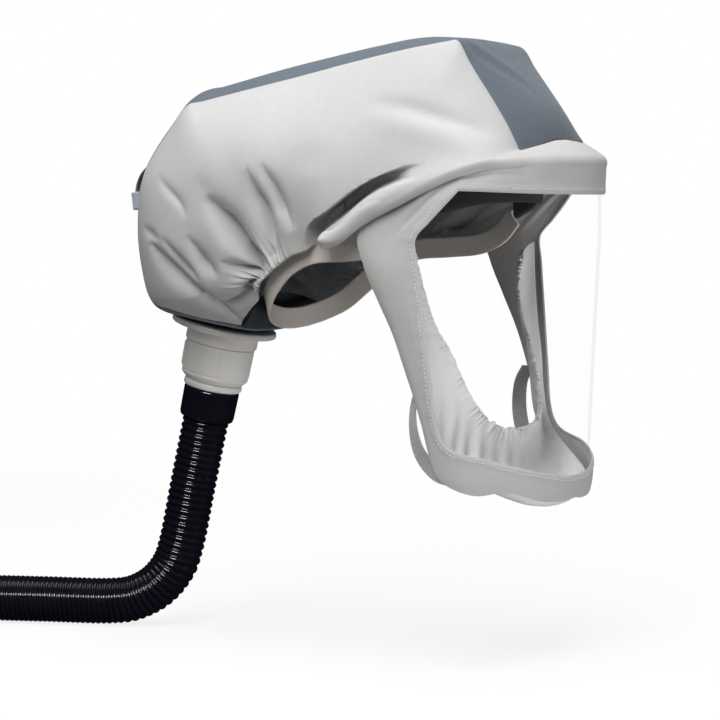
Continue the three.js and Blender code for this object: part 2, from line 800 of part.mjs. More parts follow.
addPiece('inlet_flange', turned(FLANGE_PROFILE), hardGrey, inlet);
addPiece('coupling_collar', turned(COLLAR_PROFILE), hardGrey, inlet);
addPiece('coupling_body', couplingBody(), hardGrey, inlet);
addPiece('coupling_lip', turned(LIP_PROFILE), hardGrey, inlet);
addPiece('hose_cuff', turned(CUFF_PROFILE), rubber, inlet);

const hoseGeometry = new THREE.ExtrudeGeometry(ringShape(HOSE_RADIUS, HOSE_BORE, HOSE_SIDES), {
  steps: HOSE_STEPS,
  extrudePath: hoseCurve,
});
addPiece('hose', hoseGeometry, rubber);
addPiece('hose_end_cuff', turned(END_CUFF_PROFILE), rubber, hoseEnd);
addPiece('hose_plug', turned(PLUG_PROFILE), hardGrey, hoseEnd);

export default hood;
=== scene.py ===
"""Studio scene of a powered air respirator hood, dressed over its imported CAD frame.

Tables are in millimetres in the part's own frame: forward is towards the visor (-Y), side is
outwards from the middle (the wearer's right is -X) and up is +Z.
"""
import logging
import math
from dataclasses import dataclass
from enum import Enum
from functools import cache
from typing import Callable, Optional, Sequence, Union

import bpy
import numpy as np
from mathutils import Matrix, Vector


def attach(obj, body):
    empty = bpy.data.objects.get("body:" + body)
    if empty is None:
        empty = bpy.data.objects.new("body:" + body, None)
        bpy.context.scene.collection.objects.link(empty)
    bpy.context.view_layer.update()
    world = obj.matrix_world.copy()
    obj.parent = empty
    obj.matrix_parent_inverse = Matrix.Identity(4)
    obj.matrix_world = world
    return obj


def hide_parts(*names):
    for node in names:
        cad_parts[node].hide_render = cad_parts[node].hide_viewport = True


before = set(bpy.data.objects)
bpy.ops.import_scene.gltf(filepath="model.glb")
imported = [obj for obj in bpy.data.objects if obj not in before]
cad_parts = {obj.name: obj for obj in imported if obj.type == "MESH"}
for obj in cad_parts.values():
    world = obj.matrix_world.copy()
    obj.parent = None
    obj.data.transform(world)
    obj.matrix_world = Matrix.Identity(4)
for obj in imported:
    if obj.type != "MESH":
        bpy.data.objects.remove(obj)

LOG = logging.getLogger("hood")

Grid = np.ndarray
Piece = bpy.types.Object
Material = bpy.types.Material
Socket = bpy.types.NodeSocket
Pair = tuple[float, float]
Triple = tuple[float, float, float]
Colour = Triple
Cells = tuple[int, int]
Rows = Sequence[Sequence[float]]
Feed = Union[float, tuple, Socket]

MM = 0.001
BODY = "root"
# Points that count as inside, for the whole hood and for the cloth under its back
HEAD_MIDDLE = np.array([0.0, 20.0, 40.0])
BACK_MIDDLE = np.array([0.0, 120.0, 20.0])
X_AXIS = np.array([1.0, 0.0, 0.0])
Z_AXIS = np.array([0.0, 0.0, 1.0])
# Thickness of the coated cloth and of the collar's cloth
CLOTH = 1.2
SEAL_CLOTH = 0.9
# A wave texture of scale 1 repeats after this length
WAVE_PERIOD = 2 * math.pi / 20
# Angles in degrees above which an edge stays sharp: in cloth, in the slider and in turned parts
EDGE = 65.0
SLIDER_EDGE = 40.0
TURNED_EDGE = 42.0
# How a sharp fold falls away, and where a trough's wall starts and ends, in widths of the fold
SHARP_FALL = 1.3
SHARP_POWER = 1.2
TROUGH_WALL = (0.55, 1.15)


class Hand(Enum):
    """Which side of the wearer a piece is on; the value is the sign of X."""

    RIGHT = -1.0
    LEFT = 1.0


class FoldKind(Enum):
    """The cross-section of a fold in cloth."""

    SOFT = "soft"
    SHARP = "sharp"
    TROUGH = "trough"

    def profile(self, away: Grid) -> Grid:
        """The fold's share of its depth at a distance counted in its own widths.

        Args:
            away: distance from the fold's line, 1 at its stated width.

        Returns:
            A share from 0 to 1.
        """
        if self is FoldKind.SOFT:
            return np.exp(-away**2)
        if self is FoldKind.SHARP:
            return np.exp(-SHARP_FALL * away**SHARP_POWER)
        return 1 - smoothstep(*TROUGH_WALL, away)


def smoothstep(low: float, high: float, value: Grid) -> Grid:
    """0 below low and 1 above high, with a soft change between them."""
    share = np.clip((value - low) / (high - low), 0, 1)
    return share * share * (3 - 2 * share)


def between(start: float, full: float, fade: float, end: float, value: Grid) -> Grid:
    """1 from full to fade and 0 outside start and end, with soft changes."""
    return smoothstep(start, full, value) * (1 - smoothstep(fade, end, value))


def bell(away: Grid, width: float) -> Grid:
    """1 on a line, falling softly towards 0 with the distance from it."""
    return np.exp(-((away / width) ** 2))


def squared(wave: Grid, power: float) -> Grid:
    """A sine or cosine drawn out towards a square wave, the more so the smaller the power."""
    return np.sign(wave) * np.abs(wave) ** power


def circle(count: int) -> Grid:
    """Even angles round a full turn."""
    return np.linspace(0, 2 * math.pi, count, endpoint=False)


def rays(turn: Grid, first: Grid, second: Grid) -> Grid:
    """Directions at some angles round each point of a line, from two that lie across it."""
    return np.cos(turn)[:, None] * first[:, None] + np.sin(turn)[:, None] * second[:, None]


def read(table: Rows, spot: Grid) -> Grid:
    """The second column of a table, read at values of its first."""
    return np.interp(spot, *np.transpose(table))


def unit(vectors: Grid) -> Grid:
    """The same directions with a length of one."""
    return vectors / np.maximum(np.linalg.norm(vectors, axis=-1, keepdims=True), 1e-9)


def place(hand: Union[float, Grid], forward: Grid, side: Grid, up: Grid) -> Grid:
    """Points of the part's frame from forward, side and up on one hand."""
    return np.stack(np.broadcast_arrays(hand * side, -forward, up), axis=-1).astype(float)


def lattice(across: int, down: int) -> tuple[Grid, Grid]:
    """Even parameters u and v from 0 to 1 over a grid of cells."""
    u, v = np.linspace(0, 1, across + 1), np.linspace(0, 1, down + 1)
    return tuple(np.meshgrid(u, v, indexing="ij"))


def lengths_along(grid: Grid, axis: int) -> Grid:
    """Running length along one axis of a grid of points, from 0 at its start."""
    steps = np.cumsum(np.linalg.norm(np.diff(grid, axis=axis), axis=-1), axis=axis)
    return np.concatenate([np.zeros_like(np.take(steps, [0], axis=axis)), steps], axis=axis)


def normals_of(grid: Grid, inside: Grid) -> tuple[Grid, bool]:
    """Outward directions of a grid of points.

    Args:
        grid: points by row and column.
        inside: a point on the side that counts as the inside.

    Returns:
        The directions, and whether the grid's own order had to be turned round.
    """
    normal = unit(np.cross(np.gradient(grid, axis=0), np.gradient(grid, axis=1)))
    turned = float((normal * (grid - inside)).sum()) < 0
    return (-normal if turned else normal), turned


def weave_of(along: Grid, over: Grid) -> Grid:
    """The weave's coordinates in metres, measured along one grid of points and over another."""
    run, width = lengths_along(along, 0).mean(axis=1), lengths_along(over, 1).mean(axis=0)
    return np.stack(np.meshgrid(run, width, indexing="ij"), axis=-1) * MM


def cell_corners(uv: Grid) -> Grid:
    """The coordinates at the four corners of each cell of a grid."""
    corners = np.stack([uv[:-1, :-1], uv[:-1, 1:], uv[1:, 1:], uv[1:, :-1]], axis=-2)
    return corners.reshape(-1, 4, 2)


class Spline:
    """A smooth line through a table's rows, evenly spaced in its own parameter."""

    def __init__(self, rows: Rows, beyond: Optional[Sequence[float]] = None) -> None:
        """Keeps the rows, with one more at each end to lead the line on.

        Args:
            rows: the table.
            beyond: the row after the last, if the line doesn't just run on straight.
        """
        table = np.asarray(rows, float)
        after = 2 * table[-1] - table[-2] if beyond is None else np.asarray(beyond, float)
        self.rows = np.vstack([2 * table[0] - table[1], table, after])
        self.last = len(table) - 1

    def at(self, share: Grid) -> Grid:
        """Values at shares from 0 to 1 of the way through the table.

        Args:
            share: where to read, in any shape.

        Returns:
            One row of values for each share, along a new last axis.
        """
        spot = np.clip(np.asarray(share, float), 0, 1) * self.last
        first = np.minimum(spot.astype(int), self.last - 1)
        w = (spot - first)[..., None]
        p0, p1, p2, p3 = (self.rows[first + k] for k in range(4))
        out, back = (p2 - p0) / 2, (p3 - p1) / 2
        cubic = (2 * p1 - 2 * p2 + out + back) * w - 3 * p1 + 3 * p2 - 2 * out - back
        return (cubic * w + out) * w + p1


class Shape:
    """Collects the faces of one piece and turns them into a smooth mesh object."""

    def __init__(self) -> None:
        """Starts with no points and no faces."""
        self.points: list[Grid] = []
        self.faces: list[Grid] = []
        self.uvs: list[Grid] = []
        self.count = 0

    def add(self, points: Grid, faces: Sequence[Grid], uvs: Sequence[Grid]) -> None:
        """Adds one closed lump, turned so that its faces look outwards.

        Args:
            points: its corners, in millimetres.
            faces: blocks of faces, each with the same number of corners.
            uvs: the weave's coordinates at each corner of each face, in metres.
        """
        volume = 0.0
        for block in faces:
            first = points[block[:, 0]]
            for k in range(1, block.shape[1] - 1):
                cross = np.cross(points[block[:, k]], points[block[:, k + 1]])
                volume += float((first * cross).sum())
        for block, uv in zip(faces, uvs):
            order = slice(None, None, -1 if volume < 0 else 1)
            self.faces.append(block[:, order] + self.count)
            self.uvs.append(uv[:, order])
        self.points.append(points)
        self.count += len(points)

    def wall(self, outer: Grid, thickness: float, inside: Grid = HEAD_MIDDLE,
             keep: Optional[Grid] = None) -> None:
        """Adds a sheet of even thickness on the inner side of a grid, with its edges closed.

        Args:
            outer: points of the outer face by row and column.
            thickness: of the sheet.
            inside: a point on the inner side.
            keep: which cells are there, all of them if left out.
        """
        normal, turned = normals_of(outer, inside)
        rows, columns = outer.shape[:2]
        total = rows * columns
        index = np.arange(total).reshape(rows, columns)
        cells = np.stack([index[:-1, :-1], index[1:, :-1], index[1:, 1:], index[:-1, 1:]], axis=-1)
        cells = cells.reshape(-1, 4) if keep is None else cells[keep]
        if turned:
            cells = cells[:, ::-1]
        edges = np.concatenate([cells[:, [k, (k + 1) % 4]] for k in range(4)])
        paired = np.isin(edges[:, 0] * total + edges[:, 1], edges[:, 1] * total + edges[:, 0])
        lone = edges[~paired]
        rim = np.stack([lone[:, 1], lone[:, 0], lone[:, 0] + total, lone[:, 1] + total], axis=-1)
        faces = np.concatenate([cells, cells[:, ::-1] + total, rim])
        uv = weave_of(outer, outer).reshape(-1, 2)
        points = np.concatenate([outer.reshape(-1, 3), (outer - thickness * normal).reshape(-1, 3)])
        self.add(points, [faces], [np.concatenate([uv, uv])[faces]])

    def tube(self, rings: Grid) -> None:
        """Adds a closed tube from rings of points, with a flat face on each end.

        Args:
            rings: points by ring and place round the ring.
        """
        count, around = rings.shape[:2]
        index = np.arange(count * around).reshape(count, around)
        after = np.roll(index, -1, axis=1)
        quads = np.stack([index[:-1], after[:-1], after[1:], index[1:]], axis=-1).reshape(-1, 4)
        uv = weave_of(rings, np.concatenate([rings, rings[:, :1]], axis=1))
        caps = np.stack([index[0][::-1], index[-1]])
        cap_uv = np.stack([uv[0, :-1][::-1], uv[-1, :-1]])
        self.add(rings.reshape(-1, 3), [quads, caps], [cell_corners(uv), cap_uv])

    def ring(self, loops: Grid) -> None:
        """Adds a body that is closed both ways, such as a turned ring with its bore.

        Args:
            loops: points by place round the axis and place round the section.
        """
        count, around = loops.shape[:2]
        index = np.arange(count * around).reshape(count, around)
        ahead, after = np.roll(index, -1, axis=0), np.roll(index, -1, axis=1)
        both = np.roll(ahead, -1, axis=1)
        quads = np.stack([index, after, both, ahead], axis=-1).reshape(-1, 4)
        wrapped = np.concatenate([loops, loops[:1]], axis=0)
        wrapped = np.concatenate([wrapped, wrapped[:, :1]], axis=1)
        self.add(loops.reshape(-1, 3), [quads], [cell_corners(weave_of(wrapped, wrapped))])

    def build(self, name: str, crease: Optional[float] = None) -> Piece:
        """Makes the mesh object.

        Args:
            name: of the object and its mesh.
            crease: angle in degrees above which an edge stays sharp, if any.

        Returns:
            The new object, in the scene.
        """
        points = np.concatenate(self.points) * MM
        corners = np.concatenate([block.ravel() for block in self.faces])
        sizes = np.concatenate([np.full(len(block), block.shape[1]) for block in self.faces])
        mesh = bpy.data.meshes.new(name)
        mesh.vertices.add(len(points))
        mesh.vertices.foreach_set("co", points.astype(np.float32).ravel())
        mesh.loops.add(len(corners))
        mesh.loops.foreach_set("vertex_index", corners.astype(np.int32))
        mesh.polygons.add(len(sizes))
        starts = np.concatenate([[0], np.cumsum(sizes)[:-1]])
        mesh.polygons.foreach_set("loop_start", starts.astype(np.int32))
        mesh.polygons.foreach_set("use_smooth", np.ones(len(sizes), bool))
        weave = mesh.uv_layers.new(name="weave")
        uv = np.concatenate([block.reshape(-1, 2) for block in self.uvs])
        weave.data.foreach_set("uv", uv.astype(np.float32).ravel())
        mesh.update(calc_edges=True)
        mesh.validate()
        if crease is not None:
            mesh.set_sharp_from_angle(angle=math.radians(crease))
        piece = bpy.data.objects.new(name, mesh)
        bpy.context.scene.collection.objects.link(piece)
        return piece


class NodeSketch:
    """A short way to write a material's nodes."""

    def __init__(self, name: str) -> None:
        """Starts a material with an empty tree and its output.

        Args:
            name: of the material.
        """
        self.material = bpy.data.materials.new(name)
        self.material.use_nodes = True
        self.tree = self.material.node_tree
        self.tree.nodes.clear()
        self.output = self.tree.nodes.new("ShaderNodeOutputMaterial")
        self.coords = self.tree.nodes.new("ShaderNodeTexCoord")

    def feed(self, socket: Socket, value: Feed) -> None:
        """Sets a socket to a value, or links it to another node's output.

        Args:
            socket: the input.
            value: what goes into it.
        """
        if isinstance(value, Socket):
            self.tree.links.new(value, socket)
        else:
            socket.default_value = value

    def node(self, kind: str, inputs: dict, **settings: object) -> bpy.types.Node:
        """Adds a node.

        Args:
            kind: its type without the ShaderNode prefix.
            inputs: what goes into its sockets, by name or number.
            settings: its own properties.

        Returns:
            The node.
        """
        made = self.tree.nodes.new("ShaderNode" + kind)
        for key, value in settings.items():
            setattr(made, key, value)
        for key, value in inputs.items():
            self.feed(made.inputs[key], value)
        return made

    def noise(self, scale: float, detail: float = 3.0, stretch: Optional[Colour] = None,
              twist: float = 0.0) -> Socket:
        """A noise in the part's own frame.

        Args:
            scale: lumps to the metre.
            detail: how many finer layers it has.
            stretch: factors on X, Y and Z, if it isn't even.
            twist: how far it is distorted.

        Returns:
            The noise's value.
        """
        vector = self.coords.outputs["Object"]
        if stretch is not None:
            vector = self.node("Mapping", {"Vector": vector, "Scale": stretch}).outputs[0]
        inputs = {"Vector": vector, "Scale": scale, "Detail": detail, "Distortion": twist}
        return self.node("TexNoise", inputs).outputs[0]

    def threads(self, pitch: float, direction: str, wobble: float = 0.6) -> Socket:
        """Even ribs across the weave's coordinates.

        Args:
            pitch: from rib to rib, in millimetres.
            direction: X or Y of the weave.
            wobble: how far the ribs wander.

        Returns:
            The ribs' height from 0 to 1.
        """
        inputs = {"Vector": self.coords.outputs["UV"], "Scale": WAVE_PERIOD / (pitch * MM),
                  "Distortion": wobble, "Detail": 1.0, "Detail Scale": 0.4}
        return self.node("TexWave", inputs, bands_direction=direction).outputs[1]

    def math(self, operation: str, first: Feed, second: Feed) -> Socket:
        """One sum of two values."""
        return self.node("Math", {0: first, 1: second}, operation=operation).outputs[0]

    def ranged(self, value: Feed, low: float, high: float, start: float = 0.3,
               end: float = 0.7) -> Socket:
        """A value's span from start to end, spread from low to high."""
        inputs = {"Value": value, "From Min": start, "From Max": end, "To Min": low, "To Max": high}
        return self.node("MapRange", inputs).outputs[0]

    def blend(self, share: Feed, first: Colour, second: Colour) -> Socket:
        """A colour between two, by a share from 0 to 1."""
        mixed = self.node("Mix", {0: share, 6: (*first, 1.0), 7: (*second, 1.0)}, data_type="RGBA")
        return mixed.outputs[2]

    def bump(self, height: Feed, distance: float, strength: float,
             under: Optional[Socket] = None) -> Socket:
        """A relief in the surface.

        Args:
            height: its pattern, from 0 to 1.
            distance: its depth, in millimetres.
            strength: how much of it shows.
            under: a relief that it lies on, if any.

        Returns:
            The direction that the surface then faces.
        """
        inputs = {"Height": height, "Distance": distance * MM, "Strength": strength}
        if under is not None:
            inputs["Normal"] = under
        return self.node("Bump", inputs).outputs[0]

    def ended(self, shader: bpy.types.Node) -> Material:
        """The material, once its tree ends in a shader."""
        self.tree.links.new(shader.outputs[0], self.output.inputs[0])
        return self.material

    def surface(self, inputs: dict) -> Material:
        """The material, with one shader that has these inputs."""
        return self.ended(self.node("BsdfPrincipled", inputs))


@dataclass(frozen=True)
class ClothFinish:
    """Woven cloth, coated or plain."""

    name: str
    colour: Colour
    shade: Colour
    roughness: Pair
    sheen: float
    weave: float
    weave_depth: float
    crumple: float
    coat: float = 0.0
    glow_through: float = 0.0

    def material(self) -> Material:
        """Mottled colour with painted shade in the gaps of a fine weave, and soft creases in the surface.

        Returns:
            The material.
        """
        sketch = NodeSketch(self.name)
        broad = sketch.noise(scale=11.0, detail=4.0)
        fine = sketch.noise(scale=260.0, detail=3.0)
        crease = sketch.noise(scale=38.0, detail=5.0, twist=0.6)
        warp, weft = sketch.threads(self.weave, "X"), sketch.threads(self.weave, "Y")
        threads = sketch.math("MAXIMUM", warp, weft)
        mottle = sketch.math("ADD", sketch.ranged(broad, 0.0, 0.55), sketch.ranged(fine, 0.0, 0.3))
        # Painted shade: the colour turns slightly darker in the gaps between threads, on top of the random
        # mottle
        tone = sketch.math("ADD", mottle, sketch.ranged(threads, 0.15, 0.0, 0.2, 0.9))
        normal = sketch.bump(crease, self.crumple, 0.5)
        normal = sketch.bump(threads, self.weave_depth, 0.6, normal)
        return sketch.surface({
            "Base Color": sketch.blend(tone, self.colour, self.shade),
            "Roughness": sketch.ranged(fine, *self.roughness),
            "Normal": normal,
            "Sheen Weight": self.sheen,
            "Sheen Roughness": 0.45,
            "Coat Weight": self.coat,
            "Coat Roughness": 0.5,
            "Specular IOR Level": 0.4,
            "Subsurface Weight": self.glow_through,
            "Subsurface Radius": (1.0, 1.0, 1.0),
            "Subsurface Scale": MM,
        })


@dataclass(frozen=True)
class KnitFinish:
    """Ribbed elastic or webbing, its ribs across or along the piece."""

    name: str
    colour: Colour
    shade: Colour
    rib: float
    stitch: float
    depth: float

    def material(self) -> Material:
        """Ribs with smaller loops between them, with painted shade that darkens the colour in the grooves.

        Returns:
            The material.
        """
        sketch = NodeSketch(self.name)
        ribs, loops = sketch.threads(self.rib, "X", 0.3), sketch.threads(self.stitch, "Y", 1.2)
        weave = sketch.math("MULTIPLY", sketch.ranged(ribs, 0.35, 1.0, 0.0, 0.8),
                            sketch.ranged(loops, 0.6, 1.0, 0.0, 1.0))
        broad = sketch.noise(scale=22.0, detail=4.0)
        # Painted shade: the colour turns darker in the grooves between ribs and loops, on top of the random
        # mottle
        tone = sketch.math("ADD", sketch.ranged(weave, 0.6, 0.0, 0.2, 1.0),
                           sketch.ranged(broad, 0.0, 0.4))
        return sketch.surface({
            "Base Color": sketch.blend(tone, self.colour, self.shade),
            "Roughness": sketch.ranged(broad, 0.78, 0.92),
            "Normal": sketch.bump(weave, self.depth, 0.8),
            "Sheen Weight": 0.25,
            "Sheen Roughness": 0.5,
            "Specular IOR Level": 0.3,
        })


@dataclass(frozen=True)
class MouldedFinish:
    """Moulded plastic or rubber, with a fine grain and rubbed patches."""

    name: str
    colour: Colour
    shade: Colour
    roughness: Pair
    grain: float
    grain_depth: float
    coat: float = 0.0

    def material(self) -> Material:
        """Even colour with a faint cast, grain in the surface and uneven gloss.

        Returns:
            The material.
        """
        sketch = NodeSketch(self.name)
        broad = sketch.noise(scale=26.0, detail=4.0)
        grain = sketch.noise(scale=self.grain, detail=2.0)
        scuff = sketch.noise(scale=90.0, detail=5.0, stretch=(1.0, 1.0, 6.0), twist=0.4)
        tone = sketch.math("ADD", sketch.ranged(broad, 0.0, 0.5), sketch.ranged(scuff, 0.0, 0.35))
        return sketch.surface({
            "Base Color": sketch.blend(tone, self.colour, self.shade),
            "Roughness": sketch.ranged(scuff, *self.roughness),
            "Normal": sketch.bump(grain, self.grain_depth, 0.35),
            "Coat Weight": self.coat,
            "Coat Roughness": 0.25,
            "Specular IOR Level": 0.5,
        })


@dataclass(frozen=True)
class ClearFinish:
    """A thin clear sheet: see-through, with gloss that grows at a glancing angle."""

    name: str
    tint: Colour
    veil: Pair

    def material(self) -> Material:
        """Clear film mixed with a glossy surface by its glancing share.

        Returns:
            The material.
        """
        sketch = NodeSketch(self.name)
        film = sketch.node("BsdfTransparent", {"Color": (0.996, 0.998, 0.998, 1.0)})
        smear = sketch.noise(scale=34.0, detail=4.0, twist=0.8)
        gloss = sketch.node("BsdfPrincipled", {
            "Base Color": (*self.tint, 1.0),
            "Roughness": sketch.ranged(smear, 0.03, 0.09),
            "Specular IOR Level": 0.6,
        })
        edge = sketch.node("LayerWeight", {"Blend": 0.22}).outputs["Facing"]
        share = sketch.ranged(edge, *self.veil, 0.5, 1.0)
        inputs = {0: share, 1: film.outputs[0], 2: gloss.outputs[0]}
        return sketch.ended(sketch.node("MixShader", inputs))


@dataclass(frozen=True)
class ThreadFinish:
    """Twisted sewing thread."""

    name: str
    colour: Colour

    def material(self) -> Material:
        """Pale thread with a twist in its surface and a slight sheen.

        Returns:
            The material.
        """
        sketch = NodeSketch(self.name)
        twist = sketch.noise(scale=900.0, detail=2.0)
        grey = tuple(0.8 * part for part in self.colour)
        return sketch.surface({
            "Base Color": sketch.blend(sketch.ranged(twist, 0.0, 1.0), self.colour, grey),
            "Roughness": sketch.ranged(twist, 0.45, 0.65),
            "Normal": sketch.bump(twist, 0.15, 0.5),
            "Sheen Weight": 0.3,
        })


Finish = Union[ClothFinish, KnitFinish, MouldedFinish, ClearFinish, ThreadFinish]


class Finishes:
    """Every finish of the hood; all but the thread have the name of their slot."""

    COATED = ClothFinish("coated_fabric", (0.60, 0.60, 0.60), (0.53, 0.53, 0.525), (0.5, 0.62),
                         sheen=0.08, weave=0.9, weave_depth=0.05, crumple=0.35, coat=0.06)
    SLATE = ClothFinish("slate_fabric", (0.142, 0.174, 0.212), (0.118, 0.145, 0.179), (0.5, 0.66),
                        sheen=0.12, weave=0.8, weave_depth=0.06, crumple=0.3, coat=0.05)
    DARK = ClothFinish("dark_slate_fabric", (0.05, 0.055, 0.07), (0.035, 0.038, 0.05), (0.7, 0.85),
                       sheen=0.1, weave=0.8, weave_depth=0.06, crumple=0.3)
    SEAL = ClothFinish("seal_fabric", (0.86, 0.86, 0.855), (0.80, 0.80, 0.795), (0.66, 0.8),
                       sheen=0.15, weave=0.7, weave_depth=0.06, crumple=0.4, glow_through=0.5)
    FOAM = ClothFinish("pad_foam", (0.034, 0.035, 0.04), (0.022, 0.023, 0.028), (0.82, 0.95),
                       sheen=0.3, weave=1.1, weave_depth=0.15, crumple=0.5)
    ELASTIC = KnitFinish("elastic_band", (0.80, 0.745, 0.70), (0.70, 0.645, 0.60),
                         rib=1.3, stitch=0.9, depth=0.18)
    GREY_WEB = KnitFinish("grey_webbing", (0.64, 0.645, 0.65), (0.52, 0.525, 0.53),
                          rib=1.1, stitch=1.6, depth=0.25)
    SLATE_WEB = KnitFinish("slate_webbing", (0.2, 0.23, 0.27), (0.13, 0.155, 0.185),
                           rib=1.1, stitch=1.8, depth=0.3)
    SLATE_HARD = MouldedFinish("slate_plastic", (0.42, 0.455, 0.50), (0.36, 0.395, 0.44),
                               (0.35, 0.5), grain=700.0, grain_depth=0.04)
    GREY_HARD = MouldedFinish("grey_plastic", (0.78, 0.765, 0.745), (0.72, 0.705, 0.68),
                              (0.32, 0.46), grain=900.0, grain_depth=0.03)
    RUBBER = MouldedFinish("black_rubber", (0.006, 0.005, 0.010), (0.010, 0.009, 0.015),
                           (0.10, 0.17), grain=500.0, grain_depth=0.02)
    CLEAR = ClearFinish("clear_sheet", (0.95, 0.965, 0.97), veil=(0.002, 0.2))
    THREAD = ThreadFinish("white_thread", (0.86, 0.86, 0.88))


@cache
def material_of(finish: Finish) -> Material:
    """The finish's material, made at its first use."""
    return finish.material()


def dress(piece: Piece, finish: Finish, node: str) -> Piece:
    """Gives a piece its finish and puts it in its node's place.

    Args:
        piece: the new object.
        finish: one of the finishes.
        node: the CAD node that it stands for.

    Returns:
        The piece.
    """
    piece.data.materials.append(material_of(finish))
    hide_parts(node)
    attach(piece, BODY)
    LOG.info("%s: %d faces, for %s", piece.name, len(piece.data.polygons), node)
    return piece


@dataclass(frozen=True)
class Fold:
    """A fold in a side panel, along a line in side view.

    The rows are forward, up, width on the left of the run, width on the right, and depth into the
    hood; a negative depth stands out.
    """

    kind: FoldKind
    rows: Rows

    STEPS = 48

    def push(self, forward: Grid, up: Grid) -> Grid:
        """How far the fold pushes the cloth in.

        Args:
            forward: places on the panel.
            up: places on the panel.

        Returns:
            The depth at each place.
        """
        line = Spline(self.rows).at(np.linspace(0, 1, self.STEPS))
        away = (forward[..., None] - line[:, 0]) ** 2 + (up[..., None] - line[:, 1]) ** 2
        nearest = away.argmin(axis=-1)
        spot = line[nearest]
        run = np.gradient(line[:, :2], axis=0)[nearest]
        left = run[..., 0] * (up - spot[..., 1]) - run[..., 1] * (forward - spot[..., 0])
        width = np.where(left > 0, spot[..., 2], spot[..., 3])
        return spot[..., 4] * self.kind.profile(np.sqrt(away.min(axis=-1)) / width)


SOFT, SHARP, TROUGH = FoldKind.SOFT, FoldKind.SHARP, FoldKind.TROUGH

SIDE_FOLDS = (
    # The deep fold over the head band, and the swell that carries its rolled edge on to the front
    Fold(TROUGH, ((-22, 5, 4.6, 4.6, 7), (-21, 14, 4.8, 4.8, 13), (-16.5, 22.4, 5, 5, 22),
                  (-5.2, 28.6, 5, 5, 26), (3.7, 34.3, 5, 5, 28), (14, 42, 4.8, 4.8, 26),
                  (24, 48.3, 4.6, 4.6, 20), (34, 53.2, 4.6, 4.8, 14), (42, 56.2, 4.6, 5.2, 8),
                  (49, 58, 4.8, 5.6, 3), (56, 59.4, 5, 6, 0.8), (64, 61, 5, 6, 0))),
    Fold(SOFT, ((4, 25, 5, 5, -0.6), (20, 34.5, 6, 6, -2.6), (32, 41, 6.5, 6.5, -3), (48, 48.4, 7, 7, -2.6),
                (62, 54, 7, 7, -1.8), (76, 59.6, 6, 6, -0.7), (88, 63, 5, 5, 0))),
    # Gathers that run into the head band at the rear
    Fold(SHARP, ((-100, 44, 2.4, 2.4, 0), (-93, 38, 5, 5.4, 3.8), (-82.5, 27.2, 6.6, 7.2, 6.6),
                 (-73.6, 13.7, 6.4, 6.6, 6.6), (-67, 2.7, 5, 5, 5.4), (-60.5, -4.6, 3.6, 3.4, 4))),
    Fold(SOFT, ((-106, 36, 8, 8, 0), (-97, 24, 9, 9, -1.2), (-87, 11, 8, 9, -1.6), (-78, 2, 6, 7, -1.2),
                (-71, -2, 4, 4, -0.4))),
    Fold(SHARP, ((-73, 13, 1.6, 3, 0), (-68, 9.4, 2, 3.4, 4), (-62, 4.6, 2, 3, 5),
                 (-57, 0.5, 1.8, 2.4, 2.4))),
    Fold(SHARP, ((-70, 62, 2.4, 2.4, 0), (-62.4, 46, 4.8, 5, 4), (-56.6, 35, 5.4, 5.6, 5),
                 (-52.8, 20.2, 5.4, 5.4, 3.8), (-51, 7, 5, 5, 2))),
    Fold(SHARP, ((-59, 66, 2.4, 2.4, 0), (-49.5, 52, 4.4, 4.8, 3), (-43.4, 39.5, 5, 5.2, 3.6),
                 (-38, 30, 5, 5, 1.6), (-35, 22, 5, 5, 0))),
    Fold(SHARP, ((-91, 1.5, 2, 3, 0), (-80, -0.6, 3.2, 5, 3.4), (-71, -3.6, 2.8, 4.2, 4.4),
                 (-61, -6.4, 2, 2.6, 3.2))),
    Fold(SHARP, ((-85, -21, 2, 3, 0), (-77.9, -17, 3, 4.2, 3), (-72, -13.2, 2.8, 3.8, 3.8),
                 (-64, -8.8, 2, 2.6, 2.6))),
    Fold(SOFT, ((-100, -17, 5, 5, 0), (-88, -16, 5, 5, -1), (-78, -12, 4, 4, -1), (-70, -9, 3, 3, 0))),
    Fold(SHARP, ((-104, -29, 2.4, 3, 0), (-95, -27, 3.4, 4.4, 2.6), (-84.5, -23.6, 3.2, 4.4, 3.8),
                 (-72, -18.4, 2.4, 3, 3))),
    # Slack folds low on the back
    Fold(SHARP, ((-152, 15, 2.4, 2.4, 0), (-140, 3.4, 5, 5.4, 3.8), (-128, -7, 5.6, 6, 5),
                 (-116, -17, 5.4, 5.6, 4.2), (-104, -26, 4.6, 4.6, 3), (-95, -37, 4, 4, 1.6))),
    Fold(SHARP, ((-138, 18, 2.4, 2.4, 0), (-126, 5, 3.6, 3.6, 2.4), (-117, -3.6, 3.6, 3.6, 2.4),
                 (-109, -12, 3, 3, 0))),
    Fold(SHARP, ((-115, 19, 2.4, 2.4, 0), (-107, 7.4, 4.6, 5, 3.2), (-102, 0, 5, 5.4, 3.8),
                 (-94, -9, 4, 4, 0))),
    Fold(SHARP, ((-145, 58, 2, 2, 0), (-131, 48, 3.6, 3, 1), (-121, 40, 3.6, 3, 1.2), (-115, 30, 3, 3, 0))),
    Fold(SHARP, ((-160, 24, 2, 2, 0), (-149, 19.5, 3, 3, 1.2), (-138, 15, 3, 3, 0))),
    Fold(SOFT, ((-110, 58, 6, 6, 0), (-100, 46, 7, 7, 1), (-96, 34, 6, 6, 0))),
    # Soft slack over the brow and high on the side
    Fold(SOFT, ((-24, 80, 10, 10, 0), (-20, 68, 11, 11, 0.8), (-18, 56, 10, 10, 0))),
    Fold(SOFT, ((8, 104, 5, 5, 0), (28, 102, 5, 6, 1.3), (50, 98, 5, 6, 1.8), (82, 88.6, 5, 5, 1.4),
                (102, 80, 4, 4, 0))),
    Fold(SOFT, ((16, 94, 8, 8, 0), (48, 87, 8, 8, -1.1), (80, 78, 7, 7, -0.9), (100, 72, 5, 5, 0))),
)


